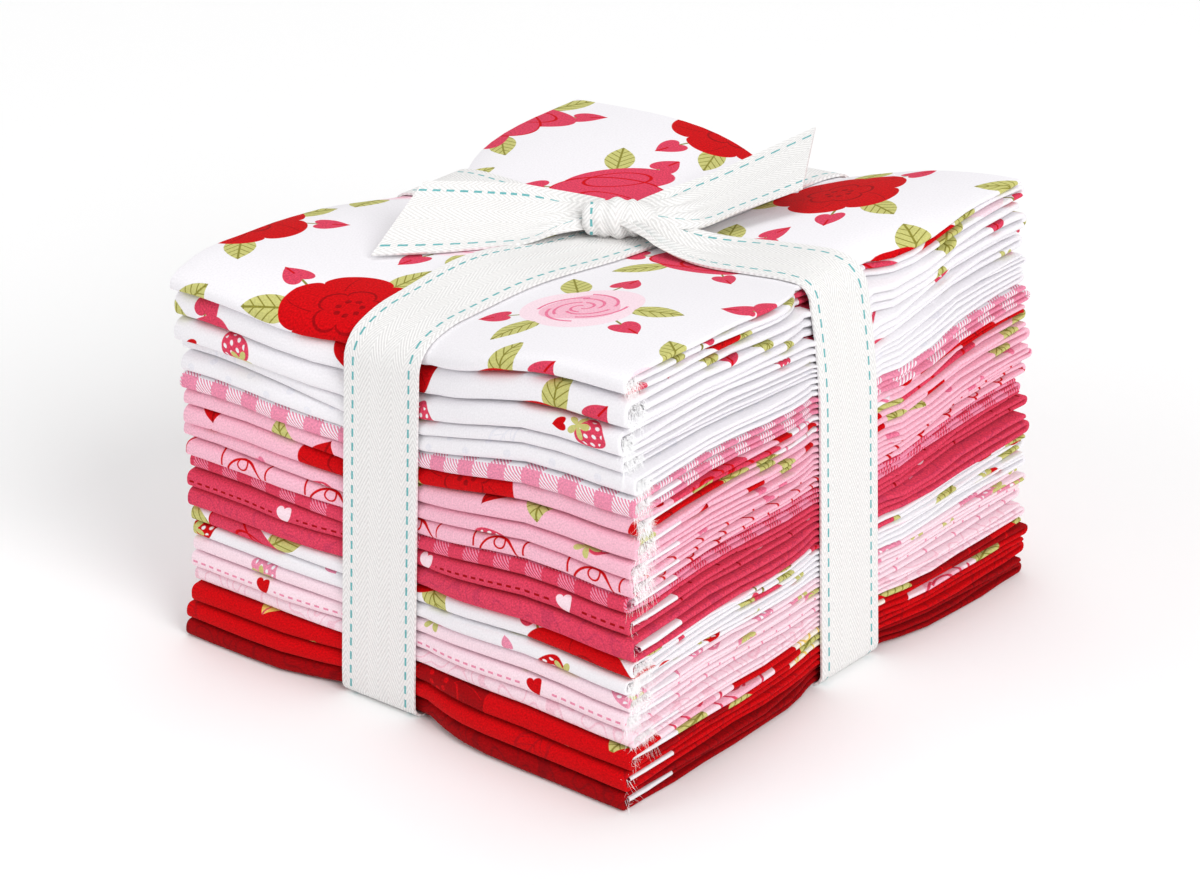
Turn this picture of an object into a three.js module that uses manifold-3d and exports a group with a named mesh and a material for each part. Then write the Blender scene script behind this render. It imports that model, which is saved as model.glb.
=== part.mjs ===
// A bundle of twenty-one fat quarters: cotton cloths folded to one size, piled up and tied with
// a twill tape. Millimetres, +Z up. The origin is on the surface under the middle of the pile;
// the rounded folds face -Y, the stacked ends face +X.
import * as THREE from 'three';
import * as BufferGeometryUtils from 'three/addons/utils/BufferGeometryUtils.js';
import Module from 'manifold-3d';

const wasm = await Module();
wasm.setup();

// Cloths: a quarter is cut 533 by 457, folded in four along X and then in three along Y
const CLOTH_WIDTH = 533;
const CLOTH_LENGTH = 457;
const HALF_X = CLOTH_WIDTH / 4 / 2;
const HALF_Y = CLOTH_LENGTH / 3 / 2;
const CLOTH_GAP = 0.34;
const RUN_GAP = 0.3;
const FREE_EDGE_SETBACK = 2.0;
const END_BEVEL = 0.35;
const END_BEVEL_LENGTH = 0.6;
const BEND_ANGLES = [-45, 0, 45];
const NOSE_ANGLES = [54, 18, -18, -54];

// Pile: its height in the middle, and how it rises to the folded side and falls to the back
const PILE_HEIGHT = 99.5;
const RISE_X = 0.098;
const RISE_Y = -0.04;

// Tape: section, the space under it, and the inside radius where it turns over an edge
const TAPE_WIDTH = 22.2;
const TAPE = 1.0;
const CLEAR = 0.3;
const TURN = 3.0;
const TURN_STEPS = 4;
const LAP = TAPE - 0.05;

// The tape's two bands lie askew. Under each the pile is pressed in by `dip` on top and lifted
// by LIFT below, fully to `inner` from the band's middle and fading out at `outer`.
const LONG_BAND = { centre: 1.0, slant: 0.092, dip: 5.0, inner: 11.5, outer: 38 };
const CROSS_BAND = { centre: 3.5, slant: 0.098, dip: 3.5, inner: 11.5, outer: 42 };
const KNOT_DIP = 4.5;
const LIFT = TAPE + CLEAR;

// How far the tape draws in each side of the pile, and the end cloths further for its turns
const DENT = { front: 2.0, back: 2.0, left: 2.2, right: 3.0 };
const TUCK = { front: 1.0, back: 2.4, left: 2.6, right: 2.6 };

// Cloths from the top down: share of the height, shift of each edge in mm, and turn in degrees
const CLOTHS = [
  { colour: 0xf6f1f1, swell: 1.12, front: -0.8, back: 0.6, left: -1.7, right: 0.5, turn: 0.1 },
  { colour: 0xf7e9ec, swell: 1.12, front: -0.2, back: -0.5, left: -0.8, right: 0.2, turn: -0.2 },
  { colour: 0xf8f3f3, swell: 1.14, front: -0.6, back: 1.6, left: -1.4, right: -0.6, turn: -0.1 },
  { colour: 0xfbf9f9, swell: 0.84, front: 0.9, back: 0.5, left: 0.4, right: -1.6, turn: -1.0 },
  { colour: 0xfbf9f9, swell: 1.04, front: 0.1, back: 0.3, left: 0.6, right: 2.0, turn: 0.2 },
  { colour: 0xf2a9bd, swell: 0.96, front: -0.5, back: 1.2, left: 0.5, right: 1.5, turn: -0.1 },
  { colour: 0xf4b3c2, swell: 0.95, front: 0.4, back: -0.4, left: 0.5, right: 1.5, turn: 0.3 },
  { colour: 0xee9fb2, swell: 1.1, front: -0.3, back: 0.7, left: 1.2, right: 2.0, turn: 0.1 },
  { colour: 0xf4b4c4, swell: 0.9, front: 0.3, back: 1.1, left: 0.9, right: 2.5, turn: -0.7 },
  { colour: 0xf3b0c1, swell: 0.95, front: -0.1, back: 0.8, left: 1.5, right: 1.0, turn: 0.2 },
  { colour: 0xd8566f, swell: 0.86, front: 0.6, back: -0.1, left: 1.5, right: 0.0, turn: -0.5 },
  { colour: 0xd9506c, swell: 1.0, front: -0.6, back: 2.0, left: 1.2, right: 1.6, turn: -0.1 },
  { colour: 0xd94f6d, swell: 1.18, front: -0.9, back: 0.6, left: 2.1, right: 4.0, turn: -0.5 },
  { colour: 0xf5e8e4, swell: 0.95, front: 0.5, back: 1.3, left: 1.9, right: 3.0, turn: -0.4 },
  { colour: 0xf7ebee, swell: 0.9, front: 0.2, back: 1.4, left: 1.7, right: 2.5, turn: -0.8 },
  { colour: 0xf9dde2, swell: 0.86, front: 0.7, back: 0.7, left: 2.0, right: 2.5, turn: -0.6 },
  { colour: 0xf8d3d9, swell: 1.0, front: -0.2, back: 1.1, left: 2.1, right: 1.5, turn: -0.5 },
  { colour: 0xf9dbe0, swell: 0.84, front: 0.8, back: 0.7, left: 2.3, right: 1.5, turn: -1.2 },
  { colour: 0xc8202b, swell: 1.08, front: -1.0, back: 1.4, left: 2.1, right: 2.0, turn: -1.0 },
  { colour: 0xb81f29, swell: 1.06, front: -1.5, back: 1.6, left: 1.6, right: 1.2, turn: -1.4 },
  { colour: 0x9d1a22, swell: 0.97, front: -1.0, back: 1.2, left: 1.1, right: 1.2, turn: -1.5 },
];

// Knot: its place on the pile, half sizes, turn in degrees and pleats
const KNOT = { x: 1.0, y: 5.0, rise: 5.2, length: 9.0, depth: 6.0, height: 4.8, turn: 38 };
const KNOT_FULLNESS = 3.2;
const KNOT_PLEATS = 6;
const KNOT_PLEAT_SHARE = 0.07;
const KNOT_SEGMENTS = 20;
const KNOT_RINGS = 12;

// Tails: a row for each section, with its middle, its width, how far its near and far edges stand
// above the pile, and how much further the near edge reaches than the far one
const FRONT_TAIL = [
  { x: -3.5, y: 5.5, width: 6.5, near: 4.5, far: 5.7, skew: 0 },
  { x: -13.5, y: 1.1, width: 18.7, near: 3.7, far: 9.0, skew: 5.1 },
  { x: -17.0, y: -8.8, width: 20.6, near: 3.1, far: 11.9, skew: 9.4 },
  { x: -22.3, y: -18.6, width: 21.9, near: 2.5, far: 13.8, skew: 9.4 },
  { x: -28.9, y: -26.6, width: 22.2, near: 1.8, far: 13.8, skew: 10.4 },
  { x: -35.5, y: -33.1, width: 22.2, near: 1.2, far: 13.2, skew: 13.9 },
];
const BACK_TAIL = [
  { x: 5.0, y: 8.0, width: 8.0, near: 4.7, far: 5.9, skew: -3.2 },
  { x: 9.7, y: 19.1, width: 20.5, near: 3.3, far: 6.4, skew: -4.8 },
  { x: 13.7, y: 31.8, width: 21.1, near: 4.1, far: 8.3, skew: -6.8 },
  { x: 22.2, y: 50.8, width: 22.2, near: 5.7, far: 13.4, skew: -15.8 },
];

const LONG_LINES = bandLines(LONG_BAND);
const CROSS_LINES = bandLines(CROSS_BAND);
const SWELL_SUM = CLOTHS.reduce((sum, cloth) => sum + cloth.swell, 0);
const LINE_SOLVE = 1 - LONG_BAND.slant * CROSS_BAND.slant;

// The lines along a band where the pile's slope changes, as offsets from the band's middle
function bandLines(band) {
  return [-band.outer, -band.inner, band.inner, band.outer];
}

// 1 under a band, 0 beyond its outer lines, straight between
function pull(offset, band) {
  const share = (band.outer - Math.abs(offset)) / (band.outer - band.inner);
  return THREE.MathUtils.clamp(share, 0, 1);
}

// Lowest and highest level of the pile at a place
function pileLevels(x, y) {
  const long = pull(x - LONG_BAND.slant * y - LONG_BAND.centre, LONG_BAND);
  const cross = pull(y - CROSS_BAND.slant * x - CROSS_BAND.centre, CROSS_BAND);
  const overlap = LONG_BAND.dip + CROSS_BAND.dip - KNOT_DIP;
  const dip = LONG_BAND.dip * long + CROSS_BAND.dip * cross - overlap * long * cross;
  return {
    base: LIFT * (long + cross),
    top: PILE_HEIGHT + RISE_X * x + RISE_Y * y - dip,
  };
}

function pileTop(x, y) {
  return pileLevels(x, y).top;
}

// A height in the level pile, carried to its place in the pressed and leaning one
function settle(x, y, height) {
  const { base, top } = pileLevels(x, y);
  return base + (top - base) * (height / PILE_HEIGHT);
}

// Where a cloth's edge lies: loose at the corners, drawn in to the tape's plane under a band
function drawnEdge(loose, tight, share, inward) {
  const drawn = inward > 0 ? Math.max(loose, tight) : Math.min(loose, tight);
  return THREE.MathUtils.lerp(loose, drawn, share);
}

// Plan position where a station across the pile meets a point of the folded section
function planPoint(cloth, station, point) {
  const lean = Math.tan(THREE.MathUtils.degToRad(cloth.turn));
  const onLine = station.line !== undefined;
  const onCross = point.line !== undefined;
  const lineX = LONG_BAND.centre + (onLine ? station.line : 0);
  const lineY = CROSS_BAND.centre + (onCross ? point.line : 0);
  if (onLine && onCross) {
    const x = (lineX + LONG_BAND.slant * lineY) / LINE_SOLVE;
    return { x, y: lineY + CROSS_BAND.slant * x };
  }
  const inwardX = station.edge === 'left' ? 1 : -1;
  const inwardY = point.edge === 'front' ? 1 : -1;
  const sideY = onCross ? lineY : -inwardY * HALF_Y;
  const sideX = onLine ? lineX : -inwardX * HALF_X;
  let x = 0;
  let y = 0;
  if (!onLine) {
    const loose = -inwardX * HALF_X + cloth[station.edge] - lean * sideY;
    const tight = -inwardX * (HALF_X - DENT[station.edge] - cloth.tuck[station.edge]);
    const share = onCross ? pull(point.line, CROSS_BAND) : 0;
    x = drawnEdge(loose, tight, share, inwardX) + inwardX * station.inset;
  }
  if (!onCross) {
    const loose = -inwardY * HALF_Y + cloth[point.edge] + lean * sideX;
    const tight = -inwardY * (HALF_Y - DENT[point.edge] - cloth.tuck[point.edge]);
    const share = onLine ? pull(station.line, LONG_BAND) : 0;
    y = drawnEdge(loose, tight, share, inwardY) + inwardY * point.inset;
  }
  if (onLine) x = lineX + LONG_BAND.slant * y;
  if (onCross) y = lineY + CROSS_BAND.slant * x;
  return { x, y };
}

// Points of an arc about a fold's centre, between two angles in degrees, ends left out
function foldArc(edge, radius, middle, angles) {
  return angles.map((degrees) => {
    const angle = THREE.MathUtils.degToRad(degrees);
    return {
      edge,
      inset: radius * (1 - Math.cos(angle)),
      height: middle + radius * Math.sin(angle),
    };
  });
}

// One cloth folded in three, seen along X, counter-clockwise: the lower run turns up at the back
// into the middle run, and at the front it wraps round the middle run's end into the upper run
function letterFold(thickness) {
  const run = (thickness - 2 * RUN_GAP) / 3;
  const nose = thickness / 2;
  const bend = run + RUN_GAP / 2;
  const runEnd = nose + RUN_GAP;
  const toBack = (height, frontInset, backInset) => [
    { edge: 'front', inset: frontInset, height },
    ...CROSS_LINES.map((line) => ({ line, height })),
    { edge: 'back', inset: backInset, height },
  ];
  const toFront = (...values) => toBack(...values).reverse();
  return [
    ...toBack(0, nose, bend),
    ...foldArc('back', bend, bend, BEND_ANGLES),
    ...toFront(2 * bend, runEnd, bend),
    ...toBack(run + RUN_GAP, runEnd, run),
    ...toFront(run, nose, run),
    { edge: 'front', inset: run, height: nose },
    ...toBack(thickness - run, nose, FREE_EDGE_SETBACK),
    ...toFront(thickness, nose, FREE_EDGE_SETBACK),
    ...foldArc('front', nose, nose, NOSE_ANGLES),
  ];
}

// Triangles that close the end of a folded section: each run in short steps, then its two bends
function sectionCap(section) {
  const side = CROSS_LINES.length + 2;
  const middleTop = side + BEND_ANGLES.length;
  const lowerTop = middleTop + 2 * side;
  const upper = lowerTop + side + 1;
  const runs = [
    { first: 0, last: lowerTop + side - 1 },
    { first: middleTop + side, last: middleTop + side - 1 },
    { first: upper, last: upper + 2 * side - 1 },
  ];
  const faces = [];
  for (const { first, last } of runs) {
    for (let step = 0; step < side - 1; step += 1) {
      const [a, b] = [first + step, first + step + 1];
      const [d, c] = [last - step, last - step - 1];
      faces.push([a, b, c], [a, c, d]);
    }
  }
  const range = (from, to) => Array.from({ length: to - from + 1 }, (_, index) => from + index);
  const backBend = [...range(side - 1, middleTop), lowerTop - 1, lowerTop];
  const frontNose = [...range(upper + 2 * side - 1, section.length - 1), 0, ...range(upper - 2, upper)];
  const flat = levelSection(section);
  for (const bend of [backBend, frontNose]) {
    const triangles = THREE.ShapeUtils.triangulateShape(bend.map((index) => flat[index]), []);
    faces.push(...triangles.map((triangle) => triangle.map((index) => bend[index])));
  }
  return faces;
}

// The section's points as they lie across Y and Z before the pile is pressed
function levelSection(section) {
  return section.map((point) => {
    if (point.edge === 'front') return new THREE.Vector2(point.inset - HALF_Y, point.height);
    if (point.edge === 'back') return new THREE.Vector2(HALF_Y - point.inset, point.height);
    return new THREE.Vector2(CROSS_BAND.centre + point.line, point.height);
  });
}

// The section drawn in by a bevel all round, for the rounded end of each run
function bevelSection(section, bevel) {
  const flat = levelSection(section);
  return section.map((point, index) => {
    const before = flat[(index + flat.length - 1) % flat.length];
    const after = flat[(index + 1) % flat.length];
    const arrive = flat[index].clone().sub(before).normalize();
    const leave = after.clone().sub(flat[index]).normalize();
    const inward = new THREE.Vector2(-arrive.y - leave.y, arrive.x + leave.x).normalize();
    const beveled = { ...point, height: point.height + bevel * inward.y };
    if (point.edge === 'front') beveled.inset += bevel * inward.x;
    if (point.edge === 'back') beveled.inset -= bevel * inward.x;
    return beveled;
  });
}

// One folded cloth: its section carried across X from the left edge to the rounded right ends
function clothGeometry(cloth, base, thickness) {
  const section = letterFold(thickness);
  const rounded = bevelSection(section, END_BEVEL);
  const stations = [
    { edge: 'left', inset: 0, section },
    ...LONG_LINES.map((line) => ({ line, section })),
    { edge: 'right', inset: END_BEVEL_LENGTH, section },
    { edge: 'right', inset: 0, section: rounded },
  ];
  const positions = [];
  for (const station of stations) {
    for (const point of station.section) {
      const { x, y } = planPoint(cloth, station, point);
      positions.push(x, y, settle(x, y, base + point.height));
    }
  }
  const count = section.length;
  const indices = [];
  for (let row = 0; row < stations.length - 1; row += 1) {
    for (let column = 0; column < count; column += 1) {
      const next = (column + 1) % count;
      const a = row * count + column;
      const b = a + count;
      const d = row * count + next;
      const c = d + count;
      // The same diagonal in plan on every layer, so that layers nest
      const forward = positions[3 * d + 1] >= positions[3 * a + 1];
      if (forward) indices.push(a, c, b, a, d, c);
      else indices.push(a, d, b, b, d, c);
    }
  }
  const last = (stations.length - 1) * count;
  for (const [a, b, c] of sectionCap(section)) {
    indices.push(a, c, b);
    indices.push(last + a, last + b, last + c);
  }
  return indexedGeometry(positions, indices);
}

function indexedGeometry(positions, indices) {
  const geometry = new THREE.BufferGeometry();
  geometry.setAttribute('position', new THREE.Float32BufferAttribute(positions, 3));
  geometry.setIndex(indices);
  geometry.computeVertexNormals();
  return geometry;
}

// Triangles turned, where needed, so that a closed mesh has a positive volume
function facingOut(positions, indices) {
  let volume = 0;
  const corner = (index) => new THREE.Vector3().fromArray(positions, 3 * index);
  for (let i = 0; i < indices.length; i += 3) {
    const [a, b, c] = [corner(indices[i]), corner(indices[i + 1]), corner(indices[i + 2])];
    volume += a.dot(b.cross(c));
  }
  return volume > 0 ? indices : indices.toReversed();
}

// A strip with four corners to each section, closed on itself or capped at both ends
function stripGeometry(sections, closed) {
  const positions = sections.flat().flatMap((corner) => corner.toArray());
  const indices = [];
  const spans = closed ? sections.length : sections.length - 1;
  for (let row = 0; row < spans; row += 1) {
    const ahead = (row + 1) % sections.length;
    for (let side = 0; side < 4; side += 1) {
      const next = (side + 1) % 4;
      const [a, b] = [4 * row + side, 4 * row + next];
      const [d, c] = [4 * ahead + side, 4 * ahead + next];
      indices.push(a, b, c, a, c, d);
    }
  }
  if (!closed) {
    const last = 4 * (sections.length - 1);
    indices.push(2, 1, 0, 3, 2, 0, last, last + 1, last + 2, last, last + 2, last + 3);
  }
  return indexedGeometry(positions, facingOut(positions, indices));
}

// Inner points and outward directions of one edge of a band, once round the pile
function bandPath(band, other, ends, offset, rides) {
  const place = (along) => {
    const across = band.centre + offset + band.slant * along;
    return band === LONG_BAND ? [across, along] : [along, across];
  };
  const lines = bandLines(other).map((line) => {
    const shifted = other.centre + line + other.slant * (band.centre + offset);
    const over = rides && Math.abs(line) === other.inner;
    return { along: shifted / LINE_SOLVE, rise: over ? LAP : 0 };
  });
  const turn = (along, height, from) => {
    const points = [];
    for (let step = 0; step <= TURN_STEPS; step += 1) {
      const angle = THREE.MathUtils.degToRad(from + 90 * (step / TURN_STEPS));
      const [outward, up] = [Math.cos(angle), Math.sin(angle)];
      points.push({ along: along + TURN * outward, z: height + TURN * up, outward, up });
    }
    return points;
  };
  const startTurn = ends.start + TURN;
  const endTurn = ends.end - TURN;
  const startTop = pileTop(...place(startTurn)) + CLEAR - TURN;
  const endTop = pileTop(...place(endTurn)) + CLEAR - TURN;
  const under = lines.map(({ along, rise }) => ({ along, z: TAPE + rise, outward: 0, up: -1 }));
  const over = lines.map(({ along, rise }) => {
    return { along, z: pileTop(...place(along)) + CLEAR + rise, outward: 0, up: 1 };
  });
  const path = [
    ...turn(startTurn, startTop, 90),
    ...turn(startTurn, TAPE + TURN, 180),
    ...under,
    ...turn(endTurn, TAPE + TURN, 270),
    ...turn(endTurn, endTop, 0),
    ...over.reverse(),
  ];
  return path.map(({ along, z, outward, up }) => ({
    inner: new THREE.Vector3(...place(along), z),
    outer: new THREE.Vector3(...place(along + TAPE * outward), z + TAPE * up),
  }));
}

function bandGeometry(band, other, ends, rides) {
  const low = bandPath(band, other, ends, -TAPE_WIDTH / 2, rides);
  const high = bandPath(band, other, ends, TAPE_WIDTH / 2, rides);
  const sections = low.map((edge, index) => {
    return [edge.inner, high[index].inner, high[index].outer, edge.outer];
  });
  return stripGeometry(sections, true);
}

// The knot: a flattened barrel with pleats round its length
function knotGeometry() {
  const ball = new THREE.SphereGeometry(1, KNOT_SEGMENTS, KNOT_RINGS);
  ball.rotateZ(Math.PI / 2);
  const spots = ball.getAttribute('position');
  for (let i = 0; i < spots.count; i += 1) {
    const along = spots.getX(i);
    const round = Math.atan2(spots.getZ(i), spots.getY(i));
    const fullness = (1 - Math.abs(along) ** KNOT_FULLNESS) ** (1 / KNOT_FULLNESS);
    const girth = fullness * (1 + KNOT_PLEAT_SHARE * Math.cos(KNOT_PLEATS * round));
    spots.setXYZ(i, along, girth * Math.cos(round), girth * Math.sin(round));
  }
  ball.scale(KNOT.length, KNOT.depth, KNOT.height);
  ball.rotateZ(THREE.MathUtils.degToRad(KNOT.turn));
  ball.translate(KNOT.x, KNOT.y, pileTop(KNOT.x, KNOT.y) + KNOT.rise);
  return ball;
}

// A tail: a strip whose width lies square to its path, tilted between its two edges' heights
function tailGeometry(rows) {
  const sections = rows.map((row, index) => {
    const before = rows[Math.max(index - 1, 0)];
    const after = rows[Math.min(index + 1, rows.length - 1)];
    const heading = new THREE.Vector2(after.x - before.x, after.y - before.y).normalize();
    const flatWidth = Math.sqrt(row.width ** 2 - (row.far - row.near) ** 2);
    const toNear = new THREE.Vector2(heading.y, -heading.x).multiplyScalar(Math.sign(heading.x));
    const edge = (side, height) => {
      const spot = new THREE.Vector2(row.x, row.y);
      spot.addScaledVector(heading, side * row.skew / 2);
      spot.addScaledVector(toNear, side * flatWidth / 2);
      return new THREE.Vector3(spot.x, spot.y, pileTop(spot.x, spot.y) + height);
    };
    const lift = new THREE.Vector3(0, 0, TAPE);
    const near = edge(1, row.near);
    const far = edge(-1, row.far);
    return [near, far, far.clone().add(lift), near.clone().add(lift)];
  });
  return stripGeometry(sections, false);
}

function toSolid(geometry) {
  const bare = geometry.clone();
  bare.deleteAttribute('normal');
  bare.deleteAttribute('uv');
  const merged = BufferGeometryUtils.mergeVertices(bare, 1e-4);
  return new wasm.Manifold(new wasm.Mesh({
    numProp: 3,
    vertProperties: merged.getAttribute('position').array,
    triVerts: new Uint32Array(merged.getIndex().array),
  }));
}

function toGeometry(solid) {
  const mesh = solid.getMesh();
  return indexedGeometry(Array.from(mesh.vertProperties), Array.from(mesh.triVerts));
}

// The tape is one length: both bands, the knot where they meet on top, and the two tails
function tapeGeometry() {
  const longEnds = { start: DENT.front - CLEAR - HALF_Y, end: HALF_Y - DENT.back + CLEAR };
  const crossEnds = { start: DENT.left - CLEAR - HALF_X, end: HALF_X - DENT.right + CLEAR };
  const pieces = [
    bandGeometry(LONG_BAND, CROSS_BAND, longEnds, false),
    bandGeometry(CROSS_BAND, LONG_BAND, crossEnds, true),
    knotGeometry(),
    tailGeometry(FRONT_TAIL),
    tailGeometry(BACK_TAIL),
  ];
  return toGeometry(pieces.map(toSolid).reduce((whole, piece) => whole.add(piece)));
}

function clothMaterial(colour) {
  return new THREE.MeshStandardMaterial({ color: colour, roughness: 0.9, metalness: 0 });
}

// The pile, from the top cloth down
function pile() {
  const group = new THREE.Group();
  let top = PILE_HEIGHT;
  CLOTHS.forEach((cloth, index) => {
    const pitch = PILE_HEIGHT * cloth.swell / SWELL_SUM;
    const outermost = index === 0 || index === CLOTHS.length - 1;
    const tuck = outermost ? TUCK : { front: 0, back: 0, left: 0, right: 0 };
    const gap = index === CLOTHS.length - 1 ? 0 : CLOTH_GAP;
    const geometry = clothGeometry({ ...cloth, tuck }, top - pitch + gap, pitch - gap);
    const mesh = new THREE.Mesh(geometry, clothMaterial(cloth.colour));
    mesh.name = `quarter_${String(index + 1).padStart(2, '0')}`;
    group.add(mesh);
    top -= pitch;
  });
  return group;
}

const tape = new THREE.Mesh(tapeGeometry(), clothMaterial(0xf4efe6));
tape.name = 'tie_tape';

const bundle = new THREE.Group();
bundle.add(pile(), tape);

export default bundle;
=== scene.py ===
# %% [markdown]
# # A bundle of fat quarters
# Twenty-one cotton cloths are each cut to a quarter of a yard, folded in four across the width
# and in three along the length, piled up and tied with a twill tape. The pile was planned in CAD,
# so this lesson loads that plan as a fixed frame and dresses it: every cloth becomes one thin
# sheet that really goes through its folds, and every print is worked out by formula.

# %% Load the frame
from math import pi, radians, tan

import bpy
import numpy as np
from mathutils import Matrix, Vector


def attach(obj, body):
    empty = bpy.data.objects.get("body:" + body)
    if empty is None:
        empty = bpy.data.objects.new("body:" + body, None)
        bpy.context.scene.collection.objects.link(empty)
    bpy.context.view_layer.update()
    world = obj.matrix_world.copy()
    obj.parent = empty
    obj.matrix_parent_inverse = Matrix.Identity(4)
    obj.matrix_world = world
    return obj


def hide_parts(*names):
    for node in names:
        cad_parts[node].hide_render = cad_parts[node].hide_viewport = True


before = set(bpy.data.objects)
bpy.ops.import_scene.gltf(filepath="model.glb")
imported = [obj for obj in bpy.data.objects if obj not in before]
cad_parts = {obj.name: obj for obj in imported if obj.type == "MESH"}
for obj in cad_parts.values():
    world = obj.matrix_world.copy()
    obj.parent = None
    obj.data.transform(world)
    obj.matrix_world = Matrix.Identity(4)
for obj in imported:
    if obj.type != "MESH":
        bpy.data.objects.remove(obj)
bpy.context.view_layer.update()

MM = 0.001
BODY = "root"
print("nodes in the frame:", len(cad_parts))

# %% [markdown]
# ## Camera
# The picture was taken from a little above, on the corner between the rounded folds and the
# stacked ends. A long lens keeps the edges nearly parallel. The camera is placed first, because
# everything after it is judged through it.

# %% Camera on the near corner
VIEW_TURN = radians(38.8)
VIEW_RISE = radians(27.65)
VIEW_DISTANCE = 1435 * MM
FRAME_WIDTH = 1200
FOCAL_PIXELS = 5902
SENSOR = 36.0
AIM_RIGHT = -3.5
AIM_UP = 158.0

right = Vector((np.cos(VIEW_TURN), np.sin(VIEW_TURN), 0))
level_back = Vector((np.sin(VIEW_TURN), -np.cos(VIEW_TURN), 0))
back = level_back * np.cos(VIEW_RISE) + Vector((0, 0, np.sin(VIEW_RISE)))
up = back.cross(right)
gaze = (-back * FOCAL_PIXELS + right * AIM_RIGHT + up * AIM_UP).normalized()
side = gaze.cross(up).normalized()
lift = side.cross(gaze)

camera = bpy.data.objects.new("camera", bpy.data.cameras.new("camera"))
axes = Matrix((side, lift, -gaze)).transposed()
camera.matrix_world = Matrix.Translation(back * VIEW_DISTANCE) @ axes.to_4x4()
camera.data.sensor_fit = "HORIZONTAL"
camera.data.sensor_width = SENSOR
camera.data.lens = FOCAL_PIXELS * SENSOR / FRAME_WIDTH
bpy.context.scene.collection.objects.link(camera)
bpy.context.scene.camera = camera
print("camera lens:", round(camera.data.lens, 1), "mm")

# %% [markdown]
# ## Light and floor
# A white sweep and broad lights on both sides give the bright, nearly shadowless look of a shop
# picture. The right-hand light is the stronger one, so the rounded folds on the left fall a
# little darker than the stacked ends. Plain sRGB viewing keeps the reds as strong as the dye.

# %% Lights
SKY_STRENGTH = 0.49
LIGHTS = [
    {"name": "key", "place": (2.7, -0.9, 2.2), "size": 2.0, "power": 63},
    {"name": "fill", "place": (-1.8, -2.6, 1.8), "size": 2.4, "power": 22},
    {"name": "top", "place": (-0.4, 0.6, 3.2), "size": 2.4, "power": 28},
]

scene = bpy.context.scene
scene.view_settings.view_transform = "Standard"
world = bpy.data.worlds.new("studio")
scene.world = world
world.use_nodes = True
sky = world.node_tree.nodes["Background"]
sky.inputs["Color"].default_value = (1, 1, 1, 1)
sky.inputs["Strength"].default_value = SKY_STRENGTH

for row in LIGHTS:
    lamp = bpy.data.lights.new(row["name"], "AREA")
    lamp.shape = "DISK"
    lamp.size = row["size"]
    lamp.energy = row["power"]
    holder = bpy.data.objects.new(row["name"], lamp)
    holder.location = row["place"]
    holder.rotation_euler = (-Vector(row["place"])).to_track_quat("-Z", "Y").to_euler()
    scene.collection.objects.link(holder)
print("lights:", [row["name"] for row in LIGHTS])

# %% Floor
FLOOR_SIZE = 6.0
FLOOR_COLOUR = (0.98, 0.98, 0.98, 1)
FLOOR_ROUGHNESS = 0.9
half = FLOOR_SIZE / 2
floor_mesh = bpy.data.meshes.new("floor")
floor_mesh.from_pydata([(-half, -half, 0), (half, -half, 0), (half, half, 0), (-half, half, 0)],
                       [], [(0, 1, 2, 3)])
floor = bpy.data.objects.new("floor", floor_mesh)
floor_paint = bpy.data.materials.new("floor_white")
floor_paint.use_nodes = True
floor_shader = floor_paint.node_tree.nodes["Principled BSDF"]
floor_shader.inputs["Base Color"].default_value = FLOOR_COLOUR
floor_shader.inputs["Roughness"].default_value = FLOOR_ROUGHNESS
floor_mesh.materials.append(floor_paint)
scene.collection.objects.link(floor)
print("side of the floor:", FLOOR_SIZE, "m")

# %% [markdown]
# ## The pile's form
# The pile isn't a neat block. The tape presses a cross into its top, the loose corners spring up
# between, and the whole top leans. One rule carries a height in a level pile to its place in the
# pressed one, and because every cloth uses the same rule, neighbours follow each other.
# Distances here are in millimetres and become metres when a mesh is made.

# %% Folded size and the two bands
CLOTH_WIDTH, CLOTH_LENGTH = 533.0, 457.0
PLIES, RUNS = 4, 3
HALF_X, HALF_Y = CLOTH_WIDTH / (2 * PLIES), CLOTH_LENGTH / (2 * RUNS)
LONG_BAND = {"centre": 1.0, "slant": 0.079, "dip": 5.4, "inner": 11.5, "outer": 58.0}
CROSS_BAND = {"centre": 4.2, "slant": 0.115, "dip": 3.5, "inner": 11.5, "outer": 62.0}
CROSS_BEND = 12.0


def ease(share):
    """Smooth step: 3 s^2 - 2 s^3 of a share held between 0 and 1."""
    share = np.clip(share, 0, 1)
    return share * share * (3 - 2 * share)


def pull(offset, band):
    """1 under a band, falling from its edge as a square to 0 at its outer line."""
    share = (band["outer"] - np.abs(offset)) / (band["outer"] - band["inner"])
    return np.clip(share, 0, 1) ** 2


def long_offset(x, y):
    """Distance of a place from the middle of the band that runs front to back."""
    return x - LONG_BAND["slant"] * y - LONG_BAND["centre"]


def cross_middle(x):
    """The knot pulls the band that runs left to right forwards into a soft V,
    centre + slant * (sqrt(x^2 + bend^2) - bend)."""
    return CROSS_BAND["centre"] + CROSS_BAND["slant"] * (np.sqrt(x * x + CROSS_BEND**2) - CROSS_BEND)


def cross_offset(x, y):
    """Distance of a place from the middle of the band that runs left to right."""
    return y - cross_middle(x)


print("folded size:", round(2 * HALF_X, 1), "by", round(2 * HALF_Y, 1), "mm")

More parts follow.
